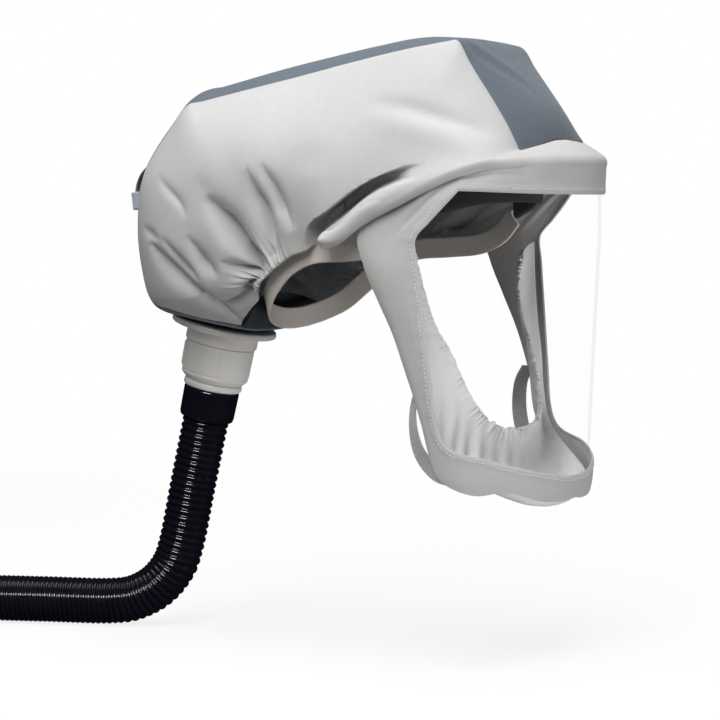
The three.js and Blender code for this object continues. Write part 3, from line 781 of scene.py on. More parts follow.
@dataclass
class SidePanel:
    """One grey side of the hood, from the slate strip to the head band and the brow."""

    hand: Hand
    cells: Cells
    fold_share: float
    fold_shift: Pair
    deep_share: float
    seed: int
    flat: Pair = (0.17, 0.43)
    flat_area: float = 0.0465
    seam_dip: float = 1.0
    seam_width: float = 1.8
    curl_steps: int = 10
    tuck_steps: int = 6
    gather_height: float = 1.1
    gather_reach: float = 15.0
    roll_around: int = 40
    roll_steps: int = 150

    # Seam at the slate strip, rim at the head band or the brow, and how far the cloth swells
    ROWS = (
        (-98, 43, -42, -72, 66, -24, 3, 0), (-106, 46, -40.5, -71, 68.5, -21.5, 6, 0),
        (-128, 46.5, -37, -69.5, 71, -19, 9, 0), (-151, 46.5, -31.5, -68, 73, -17, 12, 0),
        (-166, 45.5, -25.5, -66.5, 75, -15, 15, -1), (-173, 45, -5, -65, 77, -13, 19, -2),
        (-176, 45, 25, -63, 78.5, -11, 23, 0), (-171, 45, 60, -60, 80, -9, 24, 3),
        (-155, 45.5, 82, -56.5, 81.5, -6, 24, 5), (-132, 46, 98.5, -51.5, 83, -2.5, 24, 6),
        (-106, 48, 108.5, -45, 84.5, 1.5, 22, 4), (-80, 49, 117.2, -37, 86, 6, 21, 2),
        (-46, 50, 124, -27, 88, 9, 19, 1), (-12, 51, 131, -11, 97, 17, 15, 1),
        (22, 52, 137.5, 7, 99.5, 22.5, 12, 1), (46, 52, 139, 29, 100.2, 31.8, 9, 1),
        (62, 52, 135, 47, 100.6, 40.6, 7, 1), (76.5, 52, 120.5, 64, 99.8, 49.4, 5, 1),
        (91, 52, 103, 79, 97, 57.4, 4, 1), (100, 52, 89, 93, 91, 63.4, 2.5, 1),
        (106.8, 52, 76.2, 104, 82.5, 66.2, 1.5, 1), (108.1, 50.6, 73.2, 111, 76.3, 67.2, 1.2, 1.2),
        (109, 44, 74.3, 118, 67, 67.8, 0.8, 1.2), (110.5, 26, 77.5, 130.9, 42.9, 68.4, 0, 1.2),
        (111, 0, 81, 138.8, 0, 68.4, 0, 1.2),
    )
    # Where the seam turns its corners more sharply than the cloth beside it, by row
    CORNERS = {8: (-148, 45.5, 92.3), 9: (-136, 46, 105.5), 10: (-122, 47.4, 108.8), 15: (55, 52, 142.7),
               16: (65.5, 52, 142.1), 17: (74.5, 52, 127.4)}
    CORNER_REACH = 34.0
    # How far the deep fold runs up behind its upper lip, for each millimetre of its depth
    UNDERCUT = 0.5
    # Which rows have their edge tucked in under the roll to the head band
    TUCK = ((0, 0), (11.6, 0), (12.6, 1), (15.2, 1), (16.4, 0), (24, 0))
    # How much higher the left panel's seam lies at the brow, by row
    BROW_LIFT = ((19, 0), (20, 3.2), (21, 5.8), (22, 5.6), (23, 3.2), (24, 0))
    # Radius and turn of the curled edge, by row
    CURL = ((0, 1.4, 110), (12, 1.4, 110), (13, 1.8, 150), (14, 2.6, 170), (15, 4.2, 190),
            (17, 4.4, 190), (18, 4.2, 160), (19, 4.4, 125), (20, 5.0, 92), (21, 5.6, 78), (22, 6.2, 68),
            (24, 6.6, 63))
    # Below 1 the cloth swells more near the seam than near the rim, by row
    SWELL = ((0, 0.85), (4, 0.74), (10, 0.74), (13, 1.0), (24, 1.0))
    # How close together the grid's rows are, by row of the table
    DENSITY = ((0, 1.2), (11, 1.4), (12, 2.0), (16, 1.8), (18, 1.0), (20, 0.5), (24, 0.5))
    # The rolled edge under the deep fold: forward, side, up and radius
    ROLLED = (
        (-8.6, 97.4, 15.6, 2.0), (-8.0, 97.6, 15.6, 4.4), (-5.4, 98, 16, 5.6),
        (1, 98.3, 18.2, 5.5), (7, 98.4, 22.2, 5.2), (13.5, 98.0, 27.8, 5.1), (22, 97.0, 33.8, 5.6),
        (31, 95.8, 38.8, 6.0), (40, 94.2, 43, 6.1), (50, 91, 47.5, 5.6), (58, 86.5, 51, 3.0),
    )
    # The row past the middle of the brow, on the other hand
    BEYOND = (110.5, -26, 77.5, 130.9, -42.9, 68.4, 0, 1.2)
    # The row after which the rim runs along the brow
    BROW_ROW = 17.8
    # How much closer together the columns are at the rim, and samples to a row for the spacing
    RIM_CROWDING = 1.5
    ROW_SAMPLES = 20
    # Shares of the width in which folds die out at the seam and the rim, and what is left at the rim
    SEAM_CALM = 0.17
    RIM_CALM = 0.07
    RIM_LEFT = 0.3
    # Rows between which the rim is held flat, and those between which it is gathered
    HELD = (0.2, 1.5, 11.6, 12.4)
    GATHERED = (1.0, 3.0, 9.6, 11.0)
    # The cloth's own slack: how many soft bumps, where they lie, their width, length and depth
    BUMPS = 40
    BUMP_AREA = ((-165, -30), (70, 120))
    BUMP_WIDTH = (12, 28)
    BUMP_LENGTH = 3
    BUMP_DEPTH = (-0.45, 0.45)
    # How far the tucked edge stays off the head band's line, to the side and up
    BAND_CLEAR = (1.0, 3.5)
    LOOSE_END = 0.5
    # The roll's least radius, and its creases: height, number round it, pitch, and reach of the pinch
    ROLL_CROWDING = 1.25
    ROLL_LEAST = 0.3
    ROLL_CREASE = 0.13
    ROLL_PINCH = (0.8, 5, 3, 7)
    ROLL_WAVES = ((0.3, 2, 6), (0.3, 1, 11))

    def shares(self) -> Grid:
        """Shares along the panel, closer together where its folds are fine.

        Returns:
            One share for each row of the grid.
        """
        last = len(self.ROWS) - 1
        row = np.linspace(0, last, self.ROW_SAMPLES * last + 1)
        run = np.cumsum(read(self.DENSITY, row))
        even = np.linspace(run[0], run[-1], self.cells[0] + 1)
        return np.interp(even, run, row / last)

    def surface(self) -> Grid:
        """The outer face of the cloth with its folds and its curled edge.

        Returns:
            Points by row along the seam and column from the seam to the rim.
        """
        _, v = lattice(*self.cells)
        u = np.broadcast_to(self.shares()[:, None], v.shape)
        rows = Spline(self.ROWS, self.BEYOND).at(u)
        row = u * (len(self.ROWS) - 1)
        if self.hand is Hand.LEFT:
            rows[..., 2] += read(self.BROW_LIFT, row)
        at_row, wide, turn = np.transpose(self.CURL)
        curl = np.interp(row, at_row, wide)
        span = np.linalg.norm(rows[..., 3:6] - rows[..., :3], axis=-1)
        down = 1 - (1 - v) ** self.RIM_CROWDING
        share = (down * (1 - curl / span))[..., None]
        spot = rows[..., :3] * (1 - share) + rows[..., 3:6] * share
        high = down ** read(self.SWELL, row)
        spot[..., 1:] += rows[..., 6:8] * np.sin(math.pi * high)[..., None]
        spot += self.corner_lead(u) * bell(down * span, self.CORNER_REACH)[..., None]
        plain = place(self.hand.value, spot[..., 0], spot[..., 1], spot[..., 2])
        normal, _ = normals_of(plain, HEAD_MIDDLE)
        held = between(*self.HELD, row)
        rim_calm = 1 - held * (1 - np.minimum(1, self.RIM_LEFT + (1 - down) / self.RIM_CALM))
        push = self.pushed(spot[..., 0], spot[..., 2])
        push *= np.minimum(1, down / self.SEAM_CALM) * rim_calm
        push += self.seam_dip * bell(down * span, self.seam_width)
        push += self.gathers(row, (1 - down) * span)
        cloth = plain - normal * push[..., None]
        deep = SIDE_FOLDS[0].push(spot[..., 0] - self.fold_shift[0], spot[..., 2] - self.fold_shift[1])
        cloth[..., 2] += self.UNDERCUT * self.deep_share * deep * np.minimum(1, down / self.SEAM_CALM)
        onward = unit(plain[:, -1] - plain[:, -3])
        curled = self.curled(normal[:, -1], onward, curl[:, -1], np.interp(row[:, -1], at_row, turn))
        grid = np.concatenate([cloth, cloth[:, -1:] + curled], axis=1)
        return np.concatenate([grid, self.tucked(row[:, -1], grid)], axis=1)

    def tucked(self, row: Grid, grid: Grid) -> Grid:
        """The edge under the roll, led in to the outside of the head band.

        Args:
            row: place along the panel, in rows of the table.
            grid: the cloth so far.

        Returns:
            More columns of points.
        """
        start, band = grid[:, -1], np.array(Straps.BAND[::-1])
        side, up = (np.interp(-start[:, 1], band[:, 0], band[:, k]) for k in (1, 2))
        goal = place(self.hand.value, -start[:, 1], side + self.BAND_CLEAR[0], up + self.BAND_CLEAR[1])
        held = read(self.TUCK, row)[:, None]
        step = held * (goal - start) + (1 - held) * self.LOOSE_END * unit(start - grid[:, -2])
        share = np.linspace(0, 1, self.tuck_steps + 1)[1:]
        return start[:, None] + step[:, None] * share[None, :, None]

    def corner_lead(self, share: Grid) -> Grid:
        """How far the seam lies from the smooth rows at some shares, so that its corners are sharp."""
        sharp = [self.CORNERS.get(number, row[:3]) for number, row in enumerate(self.ROWS)]
        return Spline(sharp).at(share) - Spline([row[:3] for row in self.ROWS]).at(share)

    def pushed(self, forward: Grid, up: Grid) -> Grid:
        """How far all the folds and the cloth's own slack push it in.

        Args:
            forward: places on the panel.
            up: places on the panel.

        Returns:
            The depth at each place.
        """
        forward, up = forward - self.fold_shift[0], up - self.fold_shift[1]
        total = 0.0
        shares = {SHARP: self.fold_share, TROUGH: self.deep_share}
        for fold in SIDE_FOLDS:
            total = total + fold.push(forward, up) * shares.get(fold.kind, 1.0)
        draw = np.random.default_rng(self.seed)
        for _ in range(self.BUMPS):
            middle = draw.uniform(*self.BUMP_AREA)
            wide, tilt = draw.uniform(*self.BUMP_WIDTH), draw.uniform(0, math.pi)
            depth = draw.uniform(*self.BUMP_DEPTH)
            along = (forward - middle[0]) * math.cos(tilt) + (up - middle[1]) * math.sin(tilt)
            over = (up - middle[1]) * math.cos(tilt) - (forward - middle[0]) * math.sin(tilt)
            total = total + depth * np.exp(-((along / wide) ** 2) / self.BUMP_LENGTH - (over / wide) ** 2)
        return total

    def gathers(self, row: Grid, from_rim: Grid) -> Grid:
        """Small pleats where the cloth is drawn in on the head band.

        Args:
            row: place along the panel, in rows of the table.
            from_rim: distance from the rim.

        Returns:
            How far they push the cloth in.
        """
        pleats = np.sin(row * 9.4 + 1.2 * np.sin(row * 2.3)) + 0.5 * np.sin(row * 15.7 + 0.8)
        ends = between(*self.GATHERED, row)
        return self.gather_height * pleats * ends * bell(from_rim, self.gather_reach)

    def curled(self, out: Grid, onward: Grid, radius: Grid, turn: Grid) -> Grid:
        """The last of the cloth, curled under at the rim.

        Args:
            out: the cloth's direction along the rim.
            onward: the direction that it runs on in.
            radius: of the curl.
            turn: how far it curls, in degrees.

        Returns:
            Steps from the rim to more columns of points.
        """
        out = unit(out - onward * (out * onward).sum(axis=-1, keepdims=True))
        share = np.linspace(0, 1, self.curl_steps + 1)[1:]
        angle = np.radians(turn)[:, None, None] * share[:, None]
        sweep = out[:, None] * (np.cos(angle) - 1) + onward[:, None] * np.sin(angle)
        return radius[:, None, None] * sweep

    def rolled(self) -> Grid:
        """Rings of the rolled edge, thick at its gathered end and sunk into the brow in front.

        Returns:
            Points by place along the roll and place round it.
        """
        share = np.linspace(0, 1, self.roll_steps + 1)
        rows = Spline(self.ROLLED).at(share**self.ROLL_CROWDING)
        line = place(self.hand.value, rows[:, 0], rows[:, 1], rows[:, 2])
        ahead = unit(np.gradient(line, axis=0))
        over = unit(np.cross(ahead, Z_AXIS))
        turn = circle(self.roll_around)
        run = lengths_along(line, 0)[:, None]
        height, number, pitch, reach = self.ROLL_PINCH
        crease = height * (np.sin(number * turn + run / pitch) * np.exp(-run / reach))
        for height, number, pitch in self.ROLL_WAVES:
            crease = crease + height * np.sin(number * turn + run / pitch)
        wide = np.maximum(rows[:, 3:4], self.ROLL_LEAST) * (1 + self.ROLL_CREASE * crease)
        return line[:, None] + wide[..., None] * rays(turn, over, np.cross(over, ahead))

    def brow_edge(self) -> Grid:
        """Where the curled edge ends along the brow.

        Returns:
            Places as forward, side and up.
        """
        edge = self.surface()[:, -1]
        edge = edge[self.shares() * (len(self.ROWS) - 1) > self.BROW_ROW]
        return np.stack([-edge[:, 1], self.hand.value * edge[:, 0], edge[:, 2]], axis=-1)

    def build(self) -> None:
        node = "side_panel_" + self.hand.name.lower()
        shape = Shape()
        shape.wall(self.surface(), CLOTH)
        shape.tube(self.rolled())
        piece = dress(shape.build(node + "_cloth", EDGE), Finishes.COATED, node)


class StripPart(Enum):
    """The panels of the slate strip: name, first and last row, cells, and flat size in metres."""

    FRONT = ("front_panel", 0, 4, (70, 64), (0.102, 0.075))
    CROWN = ("crown_panel", 4, 11, (120, 64), (0.105, 0.21))
    REAR = ("rear_panel", 11, 16, (90, 64), (0.092, 0.154))
    BASE = ("base_panel", 16, 20, (80, 90), (0.09, 0.066))
    NAPE = ("nape_panel", 20, 22, (40, 70), (0.102, 0.023))


@dataclass
class CentreStrip:
    """The slate strip from the brow over the crown and down the back to the nape."""

    edge_inset: float = 0.4
    heading_step: float = 0.002
    dome_power: float = 2.4
    dip: float = 0.9
    end_dip: float = 0.1
    dip_width: float = 1.8
    inlet_bore: float = 15.4
    brow_pull: int = 3
    brow_front: Triple = (111.0, 3.4, 2.8)
    brow_top: Pair = (81.4, 1.15)
    brow_fall: Pair = (8.4, 1.4)

    # Forward, up, half width and how far the middle stands out
    ROWS = (
        (107.6, 77, 52, 3), (99.5, 90, 52, 7), (91, 103, 52, 8), (74.5, 127.2, 52, 5),
        (65.5, 141.9, 52, 1.5), (55, 142.5, 52, 3.6), (22, 137.3, 52, 9.4), (-12, 130.8, 51, 12),
        (-46, 123.8, 50, 12.6), (-80, 117, 49, 12.2), (-122, 108.6, 47.4, 11.4), (-136, 105.3, 46, 12),
        (-148, 92, 45.5, 13), (-171, 60, 45, 11.5), (-176, 25, 45, 9), (-173, -5, 45, 9),
        (-166, -26, 45, 8), (-151, -32, 46, 6.5), (-128, -37.5, 46, 5.5), (-106, -41, 46, 5),
        (-98, -42.5, 43, 2.5), (-91, -37, 45, -6), (-84, -31, 51, -14),
    )
    # Slanting ridges in the crown and the front: height, slope, start and width, and where they fade
    CROWN_RIDGE = (0.8, 0.35, 4, 9)
    CROWN_FADE = (30, 60)
    FRONT_RIDGES = ((0.8, 0.62, 118, 5), (-0.6, 0.62, 108, 5))
    FRONT_SPAN = (-52, -40, -14, 12)

    def surface(self, part: StripPart) -> Grid:
        """The outer face of one panel.

        Args:
            part: which panel.

        Returns:
            Points by row along the strip and column across it.
        """
        _, first, end, cells, _ = part.value
        u, v = lattice(*cells)
        last = len(self.ROWS) - 1
        table = Spline(self.ROWS)
        share = (first + u * (end - first)) / last
        rows = table.at(share)
        ahead, behind = table.at(share + self.heading_step), table.at(share - self.heading_step)
        heading = unit(ahead[..., :2] - behind[..., :2])
        across = 2 * v - 1
        middle = 1 - np.abs(across) ** self.dome_power
        half = rows[..., 2] - self.edge_inset
        flat = place(1.0, rows[..., 0], across * half, rows[..., 1])
        rise = rows[..., 3] * middle + self.slack(part, rows[..., 0], rows[..., 1], across * half)
        over_row = lengths_along(flat, 0)
        from_end = np.minimum(over_row, over_row[-1:] - over_row)
        rise = rise - self.dip * bell((1 - np.abs(across)) * half, self.dip_width)
        rise = rise - self.end_dip * bell(from_end, self.dip_width)
        forward = rows[..., 0] + heading[..., 1] * rise
        up = rows[..., 1] - heading[..., 0] * rise
        if part is StripPart.FRONT:
            pull = (1 - u) ** self.brow_pull
            front, sweep, power = self.brow_front
            forward = forward + (front - sweep * np.abs(across) ** power - forward[:1]) * pull
            top, power = self.brow_top
            fall = np.where(across < 0, *self.brow_fall)
            up = up + (top - fall * np.abs(across) ** power - up[:1]) * pull
        return place(1.0, forward, across * half, up)

    def slack(self, part: StripPart, forward: Grid, up: Grid, side: Grid) -> Grid:
        """Soft uneven lie of the cloth.

        Args:
            part: which panel.
            forward: places on it.
            up: places on it.
            side: places on it, from right to left.

        Returns:
            How far the cloth stands out there.
        """
        wave = 0.25 * np.sin(forward / 17 + side / 23 + 0.7) + 0.2 * np.sin(up / 13 - side / 19 + 1.9)
        if part is StripPart.CROWN:
            height, slope, start, width = self.CROWN_RIDGE
            fading = 1 - smoothstep(*self.CROWN_FADE, forward)
            return wave + height * bell(side + slope * forward + start, width) * fading
        if part is StripPart.FRONT:
            ridges = (height * bell(up - start + slope * side, width)
                      for height, slope, start, width in self.FRONT_RIDGES)
            return wave + sum(ridges) * between(*self.FRONT_SPAN, side)
        return wave

    def build(self, part: StripPart, inlet: "Inlet") -> None:
        """Makes one panel, with the round air hole where it is the base.

        Args:
            part: which panel.
            inlet: the coupling that the hole is for.
        """
        node, *_, flat = part.value
        grid, keep = self.surface(part), None
        if part is StripPart.BASE:
            grid, keep = self.holed(grid, inlet)
        inside = BACK_MIDDLE if part in (StripPart.BASE, StripPart.NAPE) else HEAD_MIDDLE
        shape = Shape()
        shape.wall(grid, CLOTH, inside, keep)
        finish = Finishes.DARK if part is StripPart.NAPE else Finishes.SLATE
        piece = dress(shape.build(node + "_cloth", EDGE), finish, node)

    def holed(self, grid: Grid, inlet: "Inlet") -> tuple[Grid, Grid]:
        """Leaves a round hole on the inlet's axis.

        Args:
            grid: the panel's points.
            inlet: the coupling.

        Returns:
            The points, with those at the hole's edge moved onto it, and which cells stay.
        """
        arm = grid - inlet.middle
        arm = arm - inlet.axis * (arm @ inlet.axis)[..., None]
        middle = (arm[:-1, :-1] + arm[1:, :-1] + arm[1:, 1:] + arm[:-1, 1:]) / 4
        keep = np.linalg.norm(middle, axis=-1) > self.inlet_bore
        counts = np.zeros(grid.shape[:2], int)
        for i, j in ((0, 0), (1, 0), (1, 1), (0, 1)):
            counts[i:i + keep.shape[0], j:j + keep.shape[1]] += keep
        edge = (counts > 0) & (counts < 4) & (np.linalg.norm(arm, axis=-1) < 2 * self.inlet_bore)
        moved = grid + (unit(arm) * self.inlet_bore - arm) * edge[..., None]
        return moved, keep


@dataclass
class FaceCurve:
    """The curve of the face opening, wider and further back at the top than at the bottom."""

    top: float = 18.0
    low: float = -115.0
    centre: Pair = (57.0, 70.0)
    reach: Pair = (77.0, 56.0)
    half: Pair = (98.0, 90.0)

    def at(self, hand: Grid, angle: Grid, up: Grid, out: Union[float, Grid]) -> Grid:
        """Points on the curve.

        Args:
            hand: sign of X.
            angle: degrees from the middle of the opening.
            up: height.
            out: distance outwards.

        Returns:
            The points.
        """
        share = np.maximum(0, (self.top - up) / (self.top - self.low))
        centre, reach, half = (a + (b - a) * share for a, b in (self.centre, self.reach, self.half))
        turn = np.radians(np.minimum(angle, 90))
        behind = np.radians(np.maximum(0, angle - 90))
        forward = centre + (reach + out) * np.cos(turn) - reach * behind
        return place(hand, forward, (half + out) * np.sin(turn), up)


FACE = FaceCurve()


class BandPart(Enum):
    """The cloth bands of the face opening."""

    BROW = "brow_band"
    FRAME = "face_frame"


@dataclass
class FaceBand:
    """A cloth band at the face opening, with a turned hem and a row of stitches along it."""

    part: BandPart
    cells: Cells
    flat: Pair
    flat_area: Optional[float] = None
    rims: Sequence[Grid] = ()
    hem_width: float = 4.8
    hem_height: float = 0.5
    stitch_line: float = 3.4
    stitch_pitch: float = 2.7
    stitch_length: float = 2.0
    stitch_radius: float = 0.32
    groove: float = 0.35
    stitch_steps: int = 6
    stitch_tip: float = 0.12
    stitch_bow: Pair = (0.45, 0.22)
    hem_step: Pair = (1.0, 0.6)
    thread_width: float = 0.8
    brow_end: Pair = (0.8, 1.0)
    own_edge: Pair = (0.72, 1.0)
    middle_blend: float = 0.1
    rim_rounds: int = 4
    crease_depth: float = 1.7
    crease_width: float = 2.0
    crease_power: float = 1.3

    # Puckers: height, pitch, sway, line and width. Loose cloth: height, wave along, wave across, span
    PUCKER = (0.08, 1.55, 7.0, 5.5, 3.2)
    LOOSE = (0.4, 9.5, 14.0, (8.0, 20.0))
    # Angle and height at the hem and at the other edge, puff of the middle and tuck of the edge
    ROWS = {
        BandPart.BROW: (
            (0, 45.4, 0, 69.8, 0.4, -1.7), (18, 45.5, 18, 69.8, 0.4, -1.7),
            (34, 45.8, 34, 69.4, 0.4, -1.4), (48, 46.4, 47.5, 68, 0.5, -0.2),
            (59, 47, 58, 65, 0.5, 2.6), (69.6, 47.5, 69.2, 60, 0.3, 4.6),
        ),
        BandPart.FRAME: (
            (69.6, 47.5, 69.2, 60, 0.3, 4.6), (76, 38, 84, 50.5, 0.2, 4.8),
            (83, 28, 100, 38.8, -0.4, 4.6), (90, 17, 119.5, 22.6, 0, 3.4), (90, 0, 119.5, 0, 2.4, 1),
            (90, -22, 115, -22, 3, 0), (90, -45, 109, -45, 2.6, 0), (90, -73, 104, -73, 1.6, 0),
            (90, -95, 100, -99, 1, 0), (87, -108, 97, -121, 0.6, 0), (79, -114.5, 90, -134, 0.6, 0),
            (62, -119, 70, -142, 0.6, 0), (44, -125, 49, -141, 0.6, 0), (26, -130, 28, -148, 0.6, 0),
            (10, -133.5, 10, -150, 0.6, 0), (0, -134, 0, -149, 0.6, 0),
        ),
    }

    def surface(self) -> Grid:
        """The outer face, with the hem's step, the stitch groove and soft puckers.

        Returns:
            Points by row from the right end to the left end and column from the hem outwards.
        """
        u, v = lattice(*self.cells)
        half = 2 * u - 1
        share = np.abs(half) if self.part is BandPart.BROW else 1 - np.abs(half)
        rows = Spline(self.ROWS[self.part]).at(share)
        angle = rows[..., 0] * (1 - v) + rows[..., 2] * v
        top, tuck = self.upper_edge(half, share, rows)
        up = rows[..., 1] * (1 - v) + top * v
        out = rows[..., 4] * (1 - np.abs(2 * v - 1) ** 3) - tuck * v**2
        plain = FACE.at(np.where(half < 0, -1.0, 1.0), angle, up, out)
        normal, _ = normals_of(plain, HEAD_MIDDLE)
        over = lengths_along(plain, 1)
        along = lengths_along(plain, 0)[:, :1]
        inner, outer = self.hem_step
        rise = self.hem_height * (1 - smoothstep(self.hem_width - inner, self.hem_width + outer, over))
        rise = rise - self.groove * bell(over - self.stitch_line, self.thread_width)
        rise = rise - self.hem_height * bell(over, self.thread_width)
        rise = rise + self.slack(share, along, over) - self.crease_depth * self.creases(share, over)
        return plain + normal * rise[..., None]

    def slack(self, share: Grid, along: Grid, over: Grid) -> Grid:
        """Puckers beside the stitches, and the loose lie of the rest.

        Args:
            share: how far through the table.
            along: distance from the right end.
            over: distance from the hem's edge.

        Returns:
            How far the cloth stands out.
        """
        height, pitch, sway, line, width = self.PUCKER
        pucker = height * np.sin(along / pitch + 0.9 * np.sin(along / sway)) * bell(over - line, width)
        height, length, slant, span = self.LOOSE
        loose = height * np.sin(along / length + over / slant) * smoothstep(*span, over)
        if self.part is BandPart.BROW:
            loose = loose * (1 - smoothstep(*self.brow_end, share))
        return pucker + loose

    def upper_edge(self, half: Grid, share: Grid, rows: Grid) -> tuple[Grid, Grid]:
        """Height and tuck of the band's other edge, taken from the panels' edges along the brow.

        Args:
            half: from -1 at the right end to 1 at the left end.
            share: how far through the table.
            rows: the table's values there.

        Returns:
            The height and the tuck.
        """
        own = smoothstep(*self.own_edge, share) if self.rims else np.ones_like(share)
        top, tuck = rows[..., 3] * own, rows[..., 5] * own
        left = smoothstep(-self.middle_blend, self.middle_blend, half)
        for rim, weight in zip(self.rims, (1 - left, left)):
            angle, up, out = self.rim_places(rim)
            top = top + np.interp(rows[..., 2], angle, up) * (1 - own) * weight
            tuck = tuck - np.interp(rows[..., 2], angle, out) * (1 - own) * weight
        return top, tuck

    def rim_places(self, rim: Grid) -> tuple[Grid, Grid, Grid]:
        """A panel's edge, measured from the opening's curve.

        Args:
            rim: the edge, as forward, side and up.

        Returns:
            Its angle, height and distance outwards, in order of the angle.
        """
        forward, side = rim[:, 0] - FACE.centre[0], rim[:, 1]
        out = np.zeros(len(rim))
        for _ in range(self.rim_rounds):
            turn = np.arctan2(side / (FACE.half[0] + out), forward / (FACE.reach[0] + out))
            bow = FACE.reach[0] * np.cos(turn) ** 2 + FACE.half[0] * np.sin(turn) ** 2
            out = forward * np.cos(turn) + side * np.sin(turn) - bow
        order = np.argsort(turn)
        return np.degrees(turn)[order], rim[order, 2], out[order]

    def creases(self, share: Grid, over: Grid) -> Grid:
        """Long soft creases that run along the band and meet at the corner of the opening.

        Args:
            share: how far through the table.
            over: distance from the hem.

        Returns:
            Their share of the crease depth.
        """
        if self.part is BandPart.BROW:
            strong = smoothstep(0.4, 0.85, share)
            middle = 11.5 - 3.0 * smoothstep(0.7, 1.0, share)
        else:
            strong = 1 - smoothstep(0.1, 0.24, share)
            middle = 8.5 + 30 * share
        return strong * np.exp(-(np.abs((over - middle) / self.crease_width) ** self.crease_power))

    def stitches(self, grid: Grid) -> Piece:
        """One stitch after another along the hem.

        Args:
            grid: the band's outer face.

        Returns:
            The row of stitches.
        """
        over = lengths_along(grid, 1)
        normal, _ = normals_of(grid, HEAD_MIDDLE)
        column = np.abs(over - self.stitch_line).argmin(axis=1)
        every = np.arange(len(grid))
        line, face = grid[every, column], normal[every, column]
        run = lengths_along(line, 0)
        middles = np.arange(self.stitch_pitch, run[-1] - self.stitch_pitch, self.stitch_pitch)
        ends = np.stack([middles - self.stitch_length / 2, middles + self.stitch_length / 2], axis=-1)
        share = np.linspace(0, 1, self.stitch_steps + 1)
        shape = Shape()
        for start, end in ends:
            spots = start + (end - start) * share
            path = np.stack([np.interp(spots, run, line[:, k]) for k in range(3)], axis=-1)
            out = unit(np.stack([np.interp(spots, run, face[:, k]) for k in range(3)], axis=-1))
            shape.tube(self.stitch_rings(path, out, share))
        piece = shape.build(self.part.value + "_stitches")
        piece.data.materials.append(material_of(Finishes.THREAD))
        return piece

    def stitch_rings(self, path: Grid, out: Grid, share: Grid) -> Grid:
        """Rings of one stitch, its ends drawn down into the cloth.

        Args:
            path: points along the stitch.
            out: the cloth's direction at each.
            share: how far along each is.

        Returns:
            Rings of points.
        """
        bow = 1 - (2 * share - 1) ** 2
        wide = self.stitch_radius * np.sqrt(self.stitch_tip + (1 - self.stitch_tip) * bow)
        height, sunk = self.stitch_bow
        middle = path + out * (height * bow - sunk)[:, None]
        over = unit(np.cross(out, np.gradient(path, axis=0)))
        return middle[:, None] + wide[:, None, None] * rays(circle(self.stitch_steps), over, out)

    def build(self) -> None:
        node = self.part.value
        grid = self.surface()
        shape = Shape()
        shape.wall(grid, CLOTH)
        piece = dress(shape.build(node + "_cloth", EDGE), Finishes.COATED, node)
        stitches = self.stitches(grid)
        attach(stitches, BODY)
        LOG.info("%s: %d faces", stitches.name, len(stitches.data.polygons))


@dataclass
class Visor:
    """The clear curved sheet, its edges under the hems."""

    cells: Cells = (140, 20)
    thickness: float = 1.0
    inset: float = 2.2
    under_hem: float = 7.0
    brow_hem: float = 48.0
    low_hem: float = -134.0
    corner: float = 68.0
    end: float = 94.0

    def build(self) -> None:
        """Makes the sheet, curved in one direction only."""
        u, v = lattice(*self.cells)
        half = 2 * u - 1
        angle = np.abs(half) * self.end
        turn = np.radians(np.minimum(angle, 90))
        corner = np.minimum(1, np.cos(turn) / math.cos(math.radians(self.corner)))
        high = FACE.top + (self.brow_hem - FACE.top) * corner + self.under_hem
        low = self.low_hem + (FACE.low - self.low_hem) * np.sin(turn) ** 2 - self.under_hem
        hand = np.where(half < 0, -1.0, 1.0)
        grid = FACE.at(hand, angle, low + (high - low) * v, -self.inset)
        shape = Shape()
        shape.wall(grid, self.thickness)
        dress(shape.build("visor_sheet"), Finishes.CLEAR, "visor")


